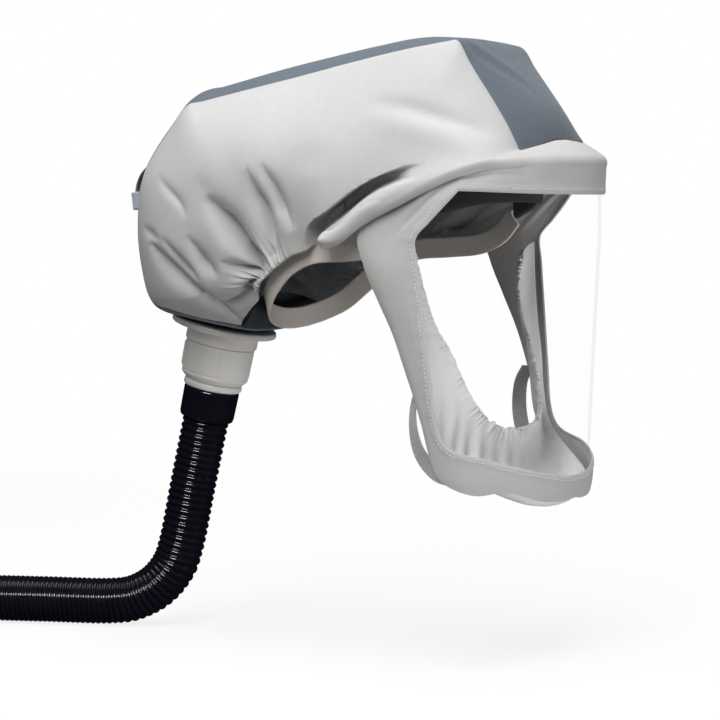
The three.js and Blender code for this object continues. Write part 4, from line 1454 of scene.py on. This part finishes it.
@dataclass
class FaceSeal:
    """The white gathered collar inside the frame, with elastic in its edge."""

    cells: Cells = (620, 27)
    inset: float = 5.0
    ruffles: int = 104
    ruffle_depth: float = 1.0
    ruffle_reach: float = 5.0
    hang_depth: float = 0.8
    hang_power: float = 1.1
    hang_from: Pair = (-142.0, -118.0)
    slack_from: Pair = (0.25, 0.5)
    wander: float = 0.006
    uneven_waves: tuple[int, int] = (17, 23)
    casing: float = 1.5
    casing_steps: int = 6
    casing_turn: float = 250.0
    flat: Pair = (0.49, 0.074)
    flat_area: float = 0.021

    # Folds that hang inside: shares of forward and side, fine and broad wave, and sway
    HANG = (0.9, 0.45, 1.5, 2.6, 11.0)
    # Where it is sewn (angle, up), and where it bags and ends (forward, side, up)
    ROWS = (
        (92, 14, 52, 88, 12, 51, 84, 8), (93, -14, 47, 85, -14, 52, 75, -14),
        (93, -38, 48, 82, -40, 57, 70, -36), (92, -62, 52, 78, -62, 66, 64, -56),
        (92, -88, 58, 74, -92, 74, 57, -79), (88, -110, 66, 68, -120, 81, 46, -96),
        (68, -128, 84, 58, -152, 85, 30, -104), (40, -138, 101, 36, -170, 87, 15, -106),
        (18, -143, 106, 16, -174, 88, 6, -107), (0, -144, 107, 0, -175, 88, 0, -107),
    )

    def surface(self) -> Grid:
        """The outer face, gathered towards its edge.

        Returns:
            Points by row from right to left and column from the seam to the edge.
        """
        u, v = lattice(*self.cells)
        half = 2 * u - 1
        hand = np.where(half < 0, -1.0, 1.0)
        rows = Spline(self.ROWS).at(1 - np.abs(half))
        sewn = FACE.at(hand, rows[..., 0], rows[..., 1], -self.inset)
        bag = place(hand, rows[..., 2], rows[..., 3], rows[..., 4])
        edge = place(hand, rows[..., 5], rows[..., 6], rows[..., 7])
        a, b, c = ((1 - v) ** 2)[..., None], (2 * v * (1 - v))[..., None], (v**2)[..., None]
        plain = sewn * a + bag * b + edge * c
        normal, _ = normals_of(plain, HEAD_MIDDLE)
        over = lengths_along(plain, 1)
        near_edge = bell(over[:, -1:] - over, self.ruffle_reach)
        low = 0.5 + 0.5 * smoothstep(*self.slack_from, 1 - np.abs(half))
        slow, quick = (2 * math.pi * waves * u for waves in self.uneven_waves)
        phase = 2 * math.pi * self.ruffles * (u + self.wander * np.sin(slow + 3 * v))
        pleat = np.sin(phase) + 0.5 * np.sin(0.61 * phase + 1.1)
        uneven = 0.6 + 0.4 * np.sin(quick + 1.3) * np.sin(slow + 0.4)
        rise = self.ruffle_depth * near_edge * low * pleat * uneven
        forward, aside, fine, broad, sway = self.HANG
        along = -forward * plain[..., 1] - aside * np.abs(plain[..., 0])
        hang = np.sin(along / fine + 1.2 * np.sin(plain[..., 2] / sway)) + 0.8 * np.sin(along / broad + 1.1)
        inside = smoothstep(*self.hang_from, plain[..., 2])
        rise = rise + self.hang_depth * hang * np.sin(math.pi * v) ** self.hang_power * low * inside
        return plain + normal * rise[..., None]

    def cased(self, grid: Grid) -> Grid:
        """The edge turned round its elastic.

        Args:
            grid: the collar so far.

        Returns:
            The same points with more columns.
        """
        out = normals_of(grid, HEAD_MIDDLE)[0][:, -1]
        onward = unit(grid[:, -1] - grid[:, -3])
        turn = np.radians(np.linspace(0, self.casing_turn, self.casing_steps + 1)[1:])[:, None]
        sweep = out[:, None] * (np.cos(turn) - 1) + onward[:, None] * np.sin(turn)
        return np.concatenate([grid, grid[:, -1:] + self.casing * sweep], axis=1)

    def build(self) -> None:
        shape = Shape()
        shape.wall(self.cased(self.surface()), SEAL_CLOTH)
        piece = dress(shape.build("face_seal_cloth"), Finishes.SEAL, "face_seal")


@dataclass
class Webbing:
    """A flat strap swept along a line, with rounded edges and woven ribs."""

    node: str
    line: Grid
    outward: Grid
    width: float
    thickness: float
    finish: KnitFinish
    rib_pitch: float = 1.5
    rib_height: float = 0.12
    section: int = 28
    edge_power: float = 0.35
    face_power: float = 0.6
    ribbed_from: float = 0.3

    def rings(self) -> Grid:
        """Rings of points round the strap.

        Returns:
            Points by place along the strap and place round it.
        """
        ahead = unit(np.gradient(self.line, axis=0))
        over = unit(np.cross(self.outward, ahead))
        out = unit(np.cross(ahead, over))
        turn = circle(self.section)
        wide = squared(np.cos(turn), self.edge_power) * self.width / 2
        deep = squared(np.sin(turn), self.face_power) * self.thickness / 2
        run = lengths_along(self.line, 0)
        ribs = self.rib_height * np.sin(2 * math.pi * run / self.rib_pitch)
        ribbed = np.sign(deep) * (np.abs(deep) > self.ribbed_from * self.thickness)
        lift = deep[None] + ribs[:, None] * ribbed[None]
        middle = self.line - out * self.thickness / 2
        return middle[:, None] + over[:, None] * wide[None, :, None] + out[:, None] * lift[..., None]

    def build(self) -> None:
        shape = Shape()
        shape.tube(self.rings())
        suffix = "_elastic" if self.finish is Finishes.ELASTIC else "_webbing"
        piece = dress(shape.build(self.node + suffix), self.finish, self.node)


@dataclass
class Straps:
    """The elastic head band, the two cheek straps, and the loop on the back."""

    band_height: float = 14.0
    band_thickness: float = 2.0
    band_flatten: float = 0.55
    band_steps: int = 700
    strap_steps: int = 240
    cheek_width: float = 10.0
    rear_width: float = 20.0
    webbing: float = 1.6

    # Forward, side and up
    BAND = (
        (47, 77.5, 30), (36, 80, 19), (20, 81, 12), (-2.6, 81, 9.7), (-25.7, 79, 8),
        (-41.9, 75.5, 2), (-53, 72, -6), (-63.9, 66, -17), (-72, 55, -27), (-78, 38, -33),
        (-81.5, 18, -36.5), (-82.5, 0, -37.5),
    )
    CHEEK = (
        (55, 81, -70), (49, 83, -82), (48, 83.5, -100), (52.5, 82.5, -117), (62, 79, -129),
        (72, 75, -133),
    )
    REAR = (
        (-179.6, 0, 68), (-188, 0, 66.8), (-196, 0, 60), (-200, 0, 50), (-199.4, 0, 40),
        (-196, 0, 33.2), (-191.5, 0, 31), (-186.4, 0, 30.4),
    )
    # Directions that a right-hand cheek strap's outside has at its top and at its foot
    CHEEK_FACING = ((-0.45, 0.85, 0), (-1.0, 0, 0.2))

    def head_band(self) -> Webbing:
        """The elastic along both sides and round the nape.

        Returns:
            The band.
        """
        u = np.linspace(-1, 1, self.band_steps + 1)
        rows = Spline(self.BAND).at(1 - np.abs(u))
        line = place(np.where(u < 0, -1.0, 1.0), rows[:, 0], rows[:, 1], rows[:, 2])
        outward = unit(line * np.array([1, self.band_flatten, 0]))
        return Webbing("neck_band", line, outward, self.band_height, self.band_thickness,
                       Finishes.ELASTIC, rib_pitch=1.4, rib_height=0.07, section=24)

    def cheek(self, hand: Hand) -> Webbing:
        """The narrow strap behind the lower part of the frame.

        Args:
            hand: which side it is on.

        Returns:
            The strap.
        """
        share = np.linspace(0, 1, self.strap_steps + 1)
        rows = Spline(self.CHEEK).at(share)
        line = place(hand.value, rows[:, 0], rows[:, 1], rows[:, 2])
        mirror = np.array([hand.value * Hand.RIGHT.value, 1, 1])
        top, foot = (np.array(row) * mirror for row in self.CHEEK_FACING)
        outward = unit(top * (1 - share[:, None]) + foot * share[:, None])
        return Webbing("cheek_strap_" + hand.name.lower(), line, outward, self.cheek_width,
                       self.webbing, Finishes.GREY_WEB)

    def rear(self) -> Webbing:
        """The loop of webbing on the back.

        Returns:
            The loop.
        """
        rows = Spline(self.REAR).at(np.linspace(0, 1, self.strap_steps + 1))
        line = place(1.0, rows[:, 0], rows[:, 1], rows[:, 2])
        outward = unit(np.cross(X_AXIS, np.gradient(line, axis=0)))
        return Webbing("rear_strap", line, outward, self.rear_width, self.webbing,
                       Finishes.SLATE_WEB)

    def build(self) -> None:
        """Makes the band and the straps."""
        self.head_band().build()
        for hand in Hand:
            self.cheek(hand).build()
        self.rear().build()


@dataclass
class Slider:
    """The moulded keeper on the rear loop: a flat sleeve with grip ridges."""

    wide: float = 25.0
    deep: float = 6.8
    tall: float = 12.0
    slot: Pair = (20.8, 4.4)
    forward: float = -198.3
    up: float = 41.5
    turn: float = -7.0
    around: int = 96
    outer_power: float = 0.28
    slot_power: float = 0.2
    ridges: int = 5
    ridge_depth: float = 0.08
    ridge_step: float = 0.31
    slot_edge: float = 0.4
    outer_edge: float = 0.6

    def outline(self, wide: float, deep: float, power: float) -> Grid:
        """A rounded rectangle round the strap; the smaller the power, the sharper its corners."""
        across, through = (squared(wave(circle(self.around)), power) for wave in (np.cos, np.sin))
        return np.stack([across * wide / 2, through * deep / 2], axis=-1)

    def build(self) -> None:
        """Makes the sleeve as a closed loop of rounded sections."""
        outer = self.outline(self.wide, self.deep, self.outer_power)
        inner = self.outline(*self.slot, self.slot_power)
        loops = []
        for share, height in self.section():
            loop = outer * share + inner * (1 - share)
            loops.append(np.concatenate([loop, np.full((self.around, 1), height)], axis=1))
        x, y, z = np.moveaxis(np.stack(loops, axis=1), -1, 0)
        cos, sin = math.cos(math.radians(self.turn)), math.sin(math.radians(self.turn))
        shape = Shape()
        shape.ring(np.stack([x, y * cos - z * sin - self.forward, y * sin + z * cos + self.up], axis=-1))
        dress(shape.build("strap_slider_frame", SLIDER_EDGE), Finishes.SLATE_HARD, "strap_slider")

    def section(self) -> list[Pair]:
        """The wall's section, with grip ridges on its outside.

        Returns:
            Shares from the slot to the outside, each with its height.
        """
        half = self.tall / 2
        ridged = [(1.0 - self.ridge_depth * (k % 2), half * (2 * self.ridge_step - self.ridge_step * k))
                  for k in range(self.ridges)]
        top = [(0.0, half - self.slot_edge), (0.3, half), (0.7, half), (1.0, half - self.outer_edge)]
        foot = [(share, -height) for share, height in reversed(top)]
        return [*top, *ridged, *foot]


@dataclass
class BrowPad:
    """The foam pad inside the brow, rounded all round and quilted a little."""

    centre: float = 40.0
    reach: float = 52.0
    half: float = 77.0
    end: float = 80.0
    low: Pair = (40.5, 24.0)
    height: Pair = (30.0, 20.0)
    thickness: float = 6.0
    steps: int = 260
    section: int = 40
    low_power: float = 1.5
    end_share: float = 0.05
    end_height: float = 0.4
    face_powers: Pair = (0.55, 0.75)
    quilt_depth: float = 0.14
    quilt_pitch: float = 26.0
    quilt_power: float = 0.6
    fill: float = 0.7

    def build(self) -> None:
        u = np.linspace(-1, 1, self.steps + 1)
        angle = np.radians(u * self.end)
        drop = 1 - np.cos(angle)
        low = self.low[0] + (self.low[1] - self.low[0]) * drop**self.low_power
        tall = self.height[0] + (self.height[1] - self.height[0]) * drop
        past = np.clip((np.abs(u) - (1 - self.end_share)) / self.end_share, 0, 0.985)
        ends = np.sqrt(1 - past**2)
        forward = self.centre + self.reach * np.cos(angle)
        outer = place(1.0, forward, self.half * np.sin(angle), low + tall / 2)
        ahead = unit(np.gradient(outer, axis=0) * np.array([1, 1, 0]))
        out = np.cross(Z_AXIS, ahead)
        out = out * np.sign((out * outer).sum(axis=-1, keepdims=True) + 1e-6)
        turn = circle(self.section)
        rise = squared(np.sin(turn), self.face_powers[0])[None, :, None]
        deep = squared(np.cos(turn), self.face_powers[1])[None, :, None]
        tufts = np.abs(np.cos(math.pi * lengths_along(outer, 0) / self.quilt_pitch)) ** self.quilt_power
        quilt = 1 - self.quilt_depth + self.quilt_depth * tufts
        middle = outer - out * self.thickness / 2
        half_height = tall / 2 * (self.end_height + (1 - self.end_height) * ends)
        wide = half_height[:, None, None] * rise * Z_AXIS
        thick = (self.thickness / 2 * ends * quilt)[:, None, None] * deep * out[:, None]
        shape = Shape()
        shape.tube(middle[:, None] + wide + thick)
        piece = dress(shape.build("brow_pad_foam"), Finishes.FOAM, "brow_pad")


class Corner(Enum):
    """How wide a turned part's corners are rounded, in millimetres."""

    FINE = 0.35
    SOFT = 0.7


def rounded(profile: Rows, radius: float, steps: int = 4, most: float = 0.45) -> Grid:
    """A closed outline with its corners rounded.

    Args:
        profile: its corners in order.
        radius: how far from a corner the rounding starts.
        steps: points on each rounded corner, less one.
        most: the largest share of a side that a corner takes.

    Returns:
        The points of the new outline.
    """
    corners = np.asarray(profile, float)
    before, after = np.roll(corners, 1, axis=0), np.roll(corners, -1, axis=0)
    share = np.linspace(0, 1, steps + 1)[:, None]
    points = []
    for spot, back, ahead in zip(corners, before, after):
        cut = min(radius, most * np.linalg.norm(back - spot), most * np.linalg.norm(ahead - spot))
        start, end = spot + unit(back - spot) * cut, spot + unit(ahead - spot) * cut
        points.append(start * (1 - share) ** 2 + spot * 2 * share * (1 - share) + end * share**2)
    return np.concatenate(points)


@dataclass
class TurnedPart:
    """A ring turned round an axis, from rows of distance along it and radius."""

    node: str
    suffix: str
    profile: Rows
    bore: float
    finish: MouldedFinish
    corner: Corner = Corner.FINE
    segments: int = 96
    relief: Optional[Callable[[Grid, Grid, Grid], Grid]] = None

    def build(self, middle: Grid, axis: Grid) -> Piece:
        """Makes the part.

        Args:
            middle: where the distances start.
            axis: the direction that they run in.

        Returns:
            The part.
        """
        closed = [(self.profile[0][0], self.bore), *self.profile, (self.profile[-1][0], self.bore)]
        outline = self.divided(rounded(closed, self.corner.value))
        turn = circle(self.segments)
        over = unit(np.cross(axis, X_AXIS))
        third = np.cross(axis, over)
        ray = np.cos(turn)[:, None] * over + np.sin(turn)[:, None] * third
        distance, radius = outline[None, :, 0], outline[None, :, 1]
        if self.relief is not None:
            radius = radius + self.relief(turn[:, None], distance, radius)
        points = middle + axis * outline[None, :, :1] + ray[:, None] * radius[..., None]
        shape = Shape()
        shape.ring(points)
        piece = shape.build(f"{self.node}_{self.suffix}", TURNED_EDGE)
        return dress(piece, self.finish, self.node)

    def divided(self, outline: Grid, longest: float = 1.2) -> Grid:
        """The outline with points added where two of them are far apart.

        Args:
            outline: its points in order.
            longest: the greatest step that may stay.

        Returns:
            All the points.
        """
        points = []
        for spot, ahead in zip(outline, np.roll(outline, -1, axis=0)):
            count = max(1, math.ceil(np.linalg.norm(ahead - spot) / longest))
            points.append(spot + (ahead - spot) * np.arange(count)[:, None] / count)
        return np.concatenate(points)


@dataclass
class Inlet:
    """The air coupling under the back: flange, collar, body, lip and the hose's own cuff."""

    forward: float = -135.0
    up: float = -43.8
    tilt: float = 13.0
    bore: float = 15.0
    hose_bore: float = 12.5
    rib_half: float = 3.6
    rib_height: float = 1.0
    rib_turn: float = 150.0
    rib_sides: Pair = (0.6, 0.8)
    rib_span: tuple[float, float, float, float] = (13.8, 15.2, 30.2, 31.6)
    skin: float = 21.5
    body_radius: float = 23.2
    seam_turns: Pair = (60.0, 240.0)
    seam_depth: float = 0.35
    seam_width: float = 0.9
    seam_end: float = 33.0
    segments: int = 160
    body_segments: int = 180

    FLANGE = ((-2.3, 35.0), (-1.2, 36.0), (1.3, 36.0), (2.3, 34.4), (2.3, 27.2), (1.9, 26.6), (1.9, 25.2),
              (2.3, 24.6))
    COLLAR = ((2.65, 23.6), (3.6, 24.6), (11.6, 24.6), (12.4, 23.8))
    SHELL = ((12.75, 23.5), (32.2, 23.2), (33.2, 22.4), (33.8, 23.0), (35.4, 22.6), (38.4, 19.6))
    LIP = ((38.75, 19.0), (40.0, 20.0), (42.4, 20.0), (43.4, 19.2))
    CUFF = ((43.75, 18.2), (45.0, 19.0), (62.6, 18.7), (63.0, 18.4), (64.4, 18.3), (65.2, 17.4))

    @property
    def middle(self) -> Grid:
        """The middle of the flange."""
        return np.array([0.0, -self.forward, self.up])

    @property
    def axis(self) -> Grid:
        """The direction that the air path runs in, down and to the rear."""
        tilt = math.radians(self.tilt)
        return np.array([0.0, math.sin(tilt), -math.cos(tilt)])

    def aside(self, turn: Grid, degrees: float) -> Grid:
        """Distance round the body from a stated angle, with its sign."""
        away = (turn - math.radians(degrees) + math.pi) % (2 * math.pi) - math.pi
        return away * self.body_radius

    def ribs(self, turn: Grid, distance: Grid, radius: Grid) -> Grid:
        """The upright rib and the parting line of the coupling's body.

        Args:
            turn: angle round the axis.
            distance: along the axis.
            radius: from the axis.

        Returns:
            How far the surface stands out.
        """
        inner, outer = self.rib_sides
        across = np.abs(self.aside(turn, self.rib_turn))
        rib = self.rib_height * (1 - smoothstep(self.rib_half - inner, self.rib_half + outer, across))
        rib = rib * between(*self.rib_span, distance)
        seam = 0.0
        for degrees in self.seam_turns:
            seam = seam - self.seam_depth * bell(self.aside(turn, degrees), self.seam_width)
        return (rib + seam * (distance < self.seam_end)) * (radius > self.skin)

    def build(self) -> list[Piece]:
        """Makes the five parts on one axis.

        Returns:
            The parts, from the flange to the cuff.
        """
        hard = (self.bore, Finishes.GREY_HARD)
        parts = (
            TurnedPart("inlet_flange", "ring", self.FLANGE, *hard, Corner.SOFT, self.segments),
            TurnedPart("coupling_collar", "ring", self.COLLAR, *hard, Corner.FINE, self.segments),
            TurnedPart("coupling_body", "shell", self.SHELL, *hard, Corner.FINE, self.body_segments,
                       self.ribs),
            TurnedPart("coupling_lip", "ring", self.LIP, *hard, Corner.FINE, self.segments),
            TurnedPart("hose_cuff", "sleeve", self.CUFF, self.hose_bore, Finishes.RUBBER, Corner.SOFT,
                       self.segments),
        )
        return [part.build(self.middle, self.axis) for part in parts]


@dataclass
class BreathingHose:
    """The black corrugated hose, with the cuff and plug on its far end."""

    length: float = 0.655
    radius: float = 16.0
    groove: float = 0.38
    per_ring: int = 8
    around: int = 36
    bore: float = 12.5
    curve_steps: int = 60
    samples: int = 4000
    end: Triple = (-296.972, 244.337, -231.5)

    # The middle line, from the cuff down to the floor and round
    ROUTE = (
        (0, 149.75, -107.67), (0, 160.09, -152.48), (0, 170.44, -197.3), (-0.68, 175.71, -211),
        (-3.49, 187.7, -225.48), (-8.09, 203.88, -234.34), (-12.43, 217.75, -236.5),
        (-27.88, 265.31, -236.5), (-43.33, 312.86, -236.5), (-64.88, 353.17, -236.5),
        (-99.05, 383.53, -236.5), (-141.61, 400.19, -236.5), (-187.31, 401.09, -236.5),
        (-230.49, 386.11, -235.72), (-265.82, 357.12, -234), (-288.94, 317.68, -232.28),
        (-296.97, 272.69, -231.5), (-296.97, 244.69, -231.5),
    )
    # From ring to ring, by distance along the hose: drawn out where it hangs, closed up on the floor
    PITCH = ((0, 4.7), (90, 4.9), (130, 4.3), (190, 3.4), (655, 3.3))
    END_CUFF = ((0, 17.4), (1.6, 18.6), (5.0, 18.6), (5.4, 18.2), (6.1, 18.2), (6.5, 18.65), (26, 19),
                (27, 18.2))
    PLUG = ((27.35, 20.2), (28.2, 21), (30.4, 21), (30.8, 20.5), (31.5, 20.5), (31.9, 21), (35.2, 21),
            (36, 20.4), (37, 18), (45.0, 17.75), (45.4, 16.6), (48.0, 16.6), (48.4, 17.65), (55, 17.4),
            (56, 16.6))

    def middle_line(self) -> tuple[Grid, Grid]:
        """The hose's middle line, as a centripetal curve through the route.

        Returns:
            Points, with the same number of steps to each ring, and the pitch of the rings at each.
        """
        rows = np.asarray(self.ROUTE, float)
        rows = np.vstack([2 * rows[0] - rows[1], rows, 2 * rows[-1] - rows[-2]])
        knots = np.concatenate([[0], np.cumsum(np.linalg.norm(np.diff(rows, axis=0), axis=1) ** 0.5)])
        pieces = []
        for k in range(1, len(rows) - 2):
            t = np.linspace(knots[k], knots[k + 1], self.curve_steps, endpoint=k == len(rows) - 3)[:, None]
            t0, t1, t2, t3 = knots[k - 1:k + 3]
            p0, p1, p2, p3 = rows[k - 1:k + 3]
            a1 = (p0 * (t1 - t) + p1 * (t - t0)) / (t1 - t0)
            a2 = (p1 * (t2 - t) + p2 * (t - t1)) / (t2 - t1)
            a3 = (p2 * (t3 - t) + p3 * (t - t2)) / (t3 - t2)
            b1 = (a1 * (t2 - t) + a2 * (t - t0)) / (t2 - t0)
            b2 = (a2 * (t3 - t) + a3 * (t - t1)) / (t3 - t1)
            pieces.append((b1 * (t2 - t) + b2 * (t - t1)) / (t2 - t1))
        dense = np.concatenate(pieces)
        run = lengths_along(dense, 0)
        at, pitch = np.transpose(self.PITCH)
        fine = np.linspace(0, run[-1], self.samples)
        count = np.concatenate([[0], np.cumsum(np.diff(fine) / np.interp(fine[1:], at, pitch))])
        steps = np.linspace(0, count[-1], round(count[-1]) * self.per_ring + 1)
        spots = np.interp(steps, count, fine)
        line = np.stack([np.interp(spots, run, dense[:, k]) for k in range(3)], axis=-1)
        return line, np.interp(spots, at, pitch)

    def rings(self, line: Grid, pitch: Grid) -> Grid:
        """The corrugated surface: round-topped rings with narrow grooves between them.

        Args:
            line: the middle line.
            pitch: from ring to ring, at each point of it.

        Returns:
            Points by step along the hose and place round it.
        """
        ahead = unit(np.gradient(line, axis=0))
        over = np.zeros_like(ahead)
        over[0] = unit(np.cross(ahead[0], X_AXIS))
        for k in range(1, len(ahead)):
            over[k] = unit(over[k - 1] - ahead[k] * (over[k - 1] @ ahead[k]))
        phase = np.arange(len(line)) / self.per_ring
        wave = np.abs(np.sin(math.pi * phase))
        wide = self.radius - self.groove * pitch * (1 - wave)
        out = rays(circle(self.around), over, np.cross(ahead, over))
        return line[:, None] + wide[:, None, None] * out

    def build(self) -> Piece:
        """Returns:
            The hose.
        """
        line, pitch = self.middle_line()
        shape = Shape()
        shape.tube(self.rings(line, pitch))
        piece = dress(shape.build("hose_tube"), Finishes.RUBBER, "hose")
        middle, axis = np.array(self.end), np.array([0.0, -1.0, 0.0])
        sleeve = TurnedPart("hose_end_cuff", "sleeve", self.END_CUFF, self.bore, Finishes.RUBBER,
                            Corner.SOFT).build(middle, axis)
        plug = TurnedPart("hose_plug", "spigot", self.PLUG, self.bore,
                          Finishes.GREY_HARD).build(middle, axis)
        return piece


@dataclass
class Studio:
    """The camera, soft lights and a plain pale floor. Lengths are in metres here."""

    heading: float = 27.0
    away: float = 1.85
    aside: float = -0.02775
    height: float = 0.042
    drop: float = 160 / 2800
    lens: float = 140.0
    sensor: float = 36.0
    floor: float = -0.2527
    floor_radius: float = 9.0
    floor_sides: int = 96
    floor_glow: float = 0.82
    glow_reach: float = 1.7
    glow_span: Pair = (0.05, 0.72)
    clip: Pair = (0.05, 60.0)
    aim: Triple = (0.0, 0.03, 0.0)
    lamp_size: float = 1.1
    glint_size: Pair = (1.0, 0.3)

    # Name, place (to the right, towards the camera, up), watts and tint
    LAMPS = (
        ("top", (0.0, 0.07, 1.9), 20.0, (1.0, 1.0, 0.99)),
        ("key", (-0.18, 0.8, 1.71), 19.0, (1.0, 0.995, 0.98)),
        ("fill", (-0.42, 1.45, 1.2), 18.0, (1.0, 1.0, 0.99)),
        ("side", (-1.75, 0.5, 0.25), 4.0, (1.0, 0.995, 0.99)),
        ("bounce", (1.37, 0.76, -1.07), 22.0, (1.0, 0.99, 0.98)),
        ("low", (-1.25, 0.93, -1.09), 3.8, (1.0, 0.98, 0.96)),
        ("rear", (-1.32, -0.66, 1.19), 2.0, (0.98, 0.99, 1.0)),
        ("far", (0.6, -1.5, 0.9), 14.0, (1.0, 1.0, 1.0)),
    )
    GLINT = ("glint", (-0.5, 1.7, 0.75), 42.0, (1.0, 1.0, 1.0))

    @property
    def right(self) -> Vector:
        """The picture's right, level."""
        turn = math.radians(self.heading)
        return Vector((math.sin(turn), -math.cos(turn), 0.0))

    @property
    def back(self) -> Vector:
        """The level direction from the object to the camera."""
        turn = math.radians(self.heading)
        return Vector((-math.cos(turn), -math.sin(turn), 0.0))

    def spot(self, right: float, back: float, up: float) -> Vector:
        """A place from its distances to the right, towards the camera and up."""
        return self.right * right + self.back * back + Vector((0, 0, up))

    def camera(self) -> None:
        """Places the camera, tilted slightly down."""
        data = bpy.data.cameras.new("camera")
        data.lens, data.sensor_width = self.lens, self.sensor
        data.clip_start, data.clip_end = self.clip
        camera = bpy.data.objects.new("camera", data)
        camera.location = self.spot(self.aside, self.away, self.height)
        look = -self.back - Vector((0, 0, self.drop))
        camera.rotation_euler = look.to_track_quat("-Z", "Y").to_euler()
        bpy.context.scene.collection.objects.link(camera)
        bpy.context.scene.camera = camera

    def light(self, name: str, where: Triple, power: float, tint: Colour,
              size: float) -> Piece:
        """Hangs one square soft light that points at the hood.

        Args:
            name: of the light.
            where: its place, to the right, towards the camera and up.
            power: in watts.
            tint: its colour.
            size: of its side.

        Returns:
            The light.
        """
        data = bpy.data.lights.new(name, "AREA")
        data.size, data.energy, data.color = size, power, tint
        lamp = bpy.data.objects.new(name, data)
        lamp.location = self.spot(*where)
        look = Vector(self.aim) - lamp.location
        lamp.rotation_euler = look.to_track_quat("-Z", "Y").to_euler()
        bpy.context.scene.collection.objects.link(lamp)
        return lamp

    def lights(self) -> None:
        """Hangs the top and key lights, and weaker ones all round; only the top one shows in gloss."""
        for row in self.LAMPS:
            lamp = self.light(*row, self.lamp_size)
            lamp.visible_glossy = lamp.name == "top"

    def glint(self, pieces: Sequence[Piece]) -> None:
        """Hangs a long light that adds gloss alone, and to some pieces alone.

        Args:
            pieces: those that it lights.
        """
        lamp = self.light(*self.GLINT, self.glint_size[0])
        lamp.data.shape, lamp.data.size_y = "RECTANGLE", self.glint_size[1]
        lamp.visible_diffuse = False
        lit = bpy.data.collections.new("glossy_pieces")
        for piece in pieces:
            lit.objects.link(piece)
        lamp.light_linking.receiver_collection = lit

    def world(self) -> None:
        """A plain white surround that lights nothing itself."""
        world = bpy.data.worlds.new("surround")
        bpy.context.scene.world = world
        world.use_nodes = True
        world.node_tree.nodes["Background"].inputs["Color"].default_value = (1.0, 1.0, 1.0, 1.0)
        world.cycles_visibility.glossy = world.cycles_visibility.diffuse = False

    def ground(self) -> None:
        """Lays a round white floor that fades into the surround."""
        ring = [(self.floor_radius * math.cos(turn), self.floor_radius * math.sin(turn), self.floor)
                for turn in circle(self.floor_sides)]
        mesh = bpy.data.meshes.new("floor")
        mesh.from_pydata(ring, [], [list(range(len(ring)))])
        floor = bpy.data.objects.new("floor", mesh)
        bpy.context.scene.collection.objects.link(floor)
        sketch = NodeSketch("floor_white")
        centred = sketch.node("Mapping", {
            "Vector": sketch.coords.outputs["Object"],
            "Location": (0.0, 0.0, -self.floor / self.glow_reach),
            "Scale": (1 / self.glow_reach,) * 3,
        })
        ball = sketch.node("TexGradient", {"Vector": centred.outputs[0]}, gradient_type="SPHERICAL")
        near = sketch.ranged(ball.outputs[1], 1.0, self.floor_glow, *self.glow_span)
        matt = sketch.node("BsdfPrincipled", {"Base Color": (0.9, 0.9, 0.9, 1.0), "Roughness": 0.75})
        glow = sketch.node("Emission", {"Color": (1.0, 1.0, 1.0, 1.0), "Strength": 1.0})
        inputs = {0: near, 1: matt.outputs[0], 2: glow.outputs[0]}
        mesh.materials.append(sketch.ended(sketch.node("MixShader", inputs)))
        floor.visible_diffuse = floor.visible_glossy = floor.visible_shadow = False

    def build(self) -> None:
        """Sets up the picture."""
        self.camera()
        self.lights()
        self.world()
        self.ground()
        view = bpy.context.scene.view_settings
        view.view_transform = "Standard"
        view.look = "None"


def main() -> None:
    """Builds the hood's pieces in order."""
    logging.basicConfig(level=logging.INFO, format="%(message)s")
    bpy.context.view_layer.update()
    studio = Studio()
    studio.build()
    hose = BreathingHose().build()
    inlet = Inlet()
    studio.glint([hose, *inlet.build()])
    sides = (
        SidePanel(Hand.RIGHT, (380, 92), fold_share=2.0, fold_shift=(0.0, 0.0), deep_share=1.0, seed=5),
        SidePanel(Hand.LEFT, (260, 66), fold_share=1.4, fold_shift=(2.5, -1.5), deep_share=0.3, seed=11),
    )
    for side in sides:
        side.build()
    strip = CentreStrip()
    for part in StripPart:
        strip.build(part, inlet)
    rims = [side.brow_edge() for side in sides]
    FaceBand(BandPart.BROW, cells=(320, 22), flat=(0.22, 0.021), rims=rims).build()
    FaceBand(BandPart.FRAME, cells=(600, 24), flat=(0.64, 0.042), flat_area=0.0135).build()
    Visor().build()
    FaceSeal().build()
    BrowPad().build()
    Straps().build()
    Slider().build()


if __name__ == "__main__":
    main()
